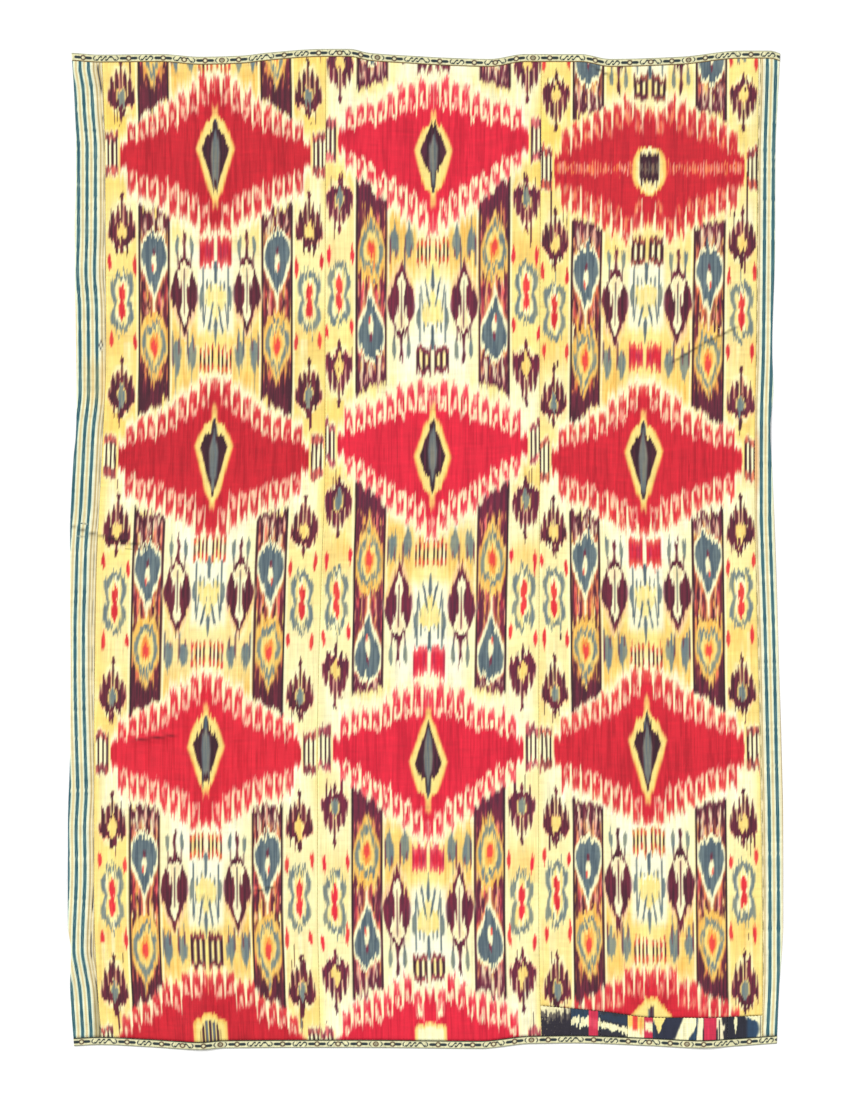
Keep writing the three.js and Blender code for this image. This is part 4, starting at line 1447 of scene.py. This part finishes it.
def shade_creases(cloth):
    """Sharp creases get painted shade: a darker colour along their crest."""
    for fold in FOLDS:
        if fold[4] < SHARP_FOLD:
            away, fade = fold_distance(fold, cloth.x, cloth.y)
            cloth.colour *= (1 - 0.48 * fade * np.clip(1 - away / 0.28, 0, 1))[..., None]


def make_panel(name, slot, left, right, bottom, drift, repeats, medallion, dyes, seed):
    """A loom width, dyed by the chart."""
    x, y = grid_between(left, right, bottom, top_seam, PANEL_COLUMNS, PANEL_ROWS)
    cloth = Width(x, y, left, right, smooth_line(drift), dyes, seed)
    dye_width(cloth, repeats, medallion)
    # Painted shade along the sharp creases.
    shade_creases(cloth)
    piece = lay_sheet(f"{name}_cloth", cloth, PANEL_THICKNESS, PANEL_STEP)
    dress(piece, name, woven_material(slot, **PANEL_WEAVE))


def make_border(name, left, right, sewn, dye, seed):
    """A striped side border."""
    x, y = grid_between(left, right, bottom_seam, top_seam, BORDER_COLUMNS, BORDER_ROWS, sewn)
    cloth = Cloth(x, y, BEIGE, seed)
    dye(cloth)
    # Painted shade along the sharp creases.
    shade_creases(cloth)
    cloth.wear(strip=1.6, size=0.02, knot=30.0, weft_size=0.02)
    piece = lay_sheet(f"{name}_cloth", cloth, BORDER_THICKNESS, BORDER_STEP)
    material = woven_material(f"{name}_cotton", **BORDER_WEAVE)
    dress(piece, name, material)


def make_tape(name, bottom, top, start, seam_side, seam_colour, seam_strength, seed):
    """An end tape. It is sewn along its upper edge where seam_side is 1, and else along its lower edge."""
    sewn = (0, 0, 1, 0) if seam_side < 0 else (0, 0, 0, 1)
    x, y = grid_between(left_edge, right_edge, bottom, top, TAPE_COLUMNS, TAPE_ROWS, sewn)
    cloth = Cloth(x, y, STRAW, seed)
    dye_tape(cloth, (bottom(x) + top(x)) / 2, start, seam_side, seam_colour, seam_strength)
    cloth.wear(strip=3.0, size=0.04, knot=5.0, weft_size=0.01)
    piece = lay_sheet(f"{name}_cloth", cloth, TAPE_THICKNESS, TAPE_STEP)
    material = woven_material(f"{name}_weave", **TAPE_WEAVE)
    dress(piece, name, material)


def even(count, step):
    """The nearest count up that the step divides."""
    return int(math.ceil(count / step)) * step


def make_scraps():
    """The seven scraps from left to right. The first and the last meet the long seams."""
    material = woven_material("ikat_scraps", **SCRAP_WEAVE)
    left = mid_right_seam
    for number, item in enumerate(SCRAPS):
        right = right_seam if item is SCRAPS[-1] else straight(item["right"])
        middle = item["right"] - SCRAP_HALF
        low = float(bottom_seam(middle))
        wide = float(right(low) - left(low))
        tall = float(scrap_top(middle)) - low
        columns = even(wide / SCRAP_POINT, SCRAP_STEP)
        rows = even(tall / SCRAP_POINT, SCRAP_STEP)
        x, y = grid_between(left, right, bottom_seam, scrap_top, columns, rows)
        cloth = Cloth(x, y, item["ground"], SCRAP_SEED + number)
        threads = np.floor((x - x.min()) / 2.2).astype(int)
        ragged = slip(cloth.rng, threads, -y.mean(axis=1), 1.6, 20.0)
        item["dye"](cloth, x, scrap_top(x) - y + ragged)
        cloth.wear(strip=2.0, size=0.05, knot=25.0, weft_size=0.02)
        piece = lay_sheet(f"{item['name']}_cloth", cloth, SCRAP_THICKNESS, SCRAP_STEP)
        dress(piece, item["name"], material)
        left = right


def make_stitches():
    """The sewing that shows: small stitches down the long seams and dark ones along the top of the pieced
    strip.
    """
    pale = thread_material("pale_thread", (232, 214, 152))
    dark = thread_material("dark_thread", (52, 44, 40))
    low = float(bottom_seam(0.0)) + STITCH_MARGIN
    high = float(top_seam(0.0)) - STITCH_MARGIN
    seams = {"left": left_seam, "mid_left": mid_left_seam, "mid_right": mid_right_seam, "right": right_seam}
    for name, line in seams.items():
        row = sew(f"stitches_{name}", line, along_x=False, start=low, end=high,
                  spacing=7.0, length=4.2, radius=0.24, above=PANEL_THICKNESS * 0.7)
        row.data.materials.append(pale)
        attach(row, "root")
    row = sew("stitches_strip", scrap_top, along_x=True, start=218, end=614,
              spacing=6.2, length=4.4, radius=0.42, above=SCRAP_THICKNESS * 0.85)
    row.data.materials.append(dark)
    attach(row, "root")


make_panel("panel_left", "ikat_left", left_seam, mid_left_seam, bottom_seam, STRAIGHT, LEFT_REPEATS,
           LONE_MEDALLION, LEFT_DYES, seed=11)
make_panel("panel_centre", "ikat_centre", mid_left_seam, mid_right_seam, bottom_seam, STRAIGHT,
           CENTRE_REPEATS, TURNED_MEDALLION, CENTRE_DYES, seed=23)
make_panel("panel_right", "ikat_right", mid_right_seam, right_seam, scrap_top, RIGHT_DRIFT,
           RIGHT_REPEATS, LONE_MEDALLION, RIGHT_DYES, seed=37)
make_border("border_left", left_edge, left_seam, (0, 1, 1, 1), dye_left_border, seed=51)
make_border("border_right", right_seam, right_edge, (1, 0, 1, 1), dye_right_border, seed=53)
make_tape("tape_top", top_seam, top_edge, start=-645, seam_side=-1,
          seam_colour=(156, 124, 66), seam_strength=0.8, seed=61)
make_tape("tape_bottom", bottom_edge, bottom_seam, start=-648, seam_side=1,
          seam_colour=(44, 50, 34), seam_strength=0.95, seed=67)
make_scraps()
make_stitches()
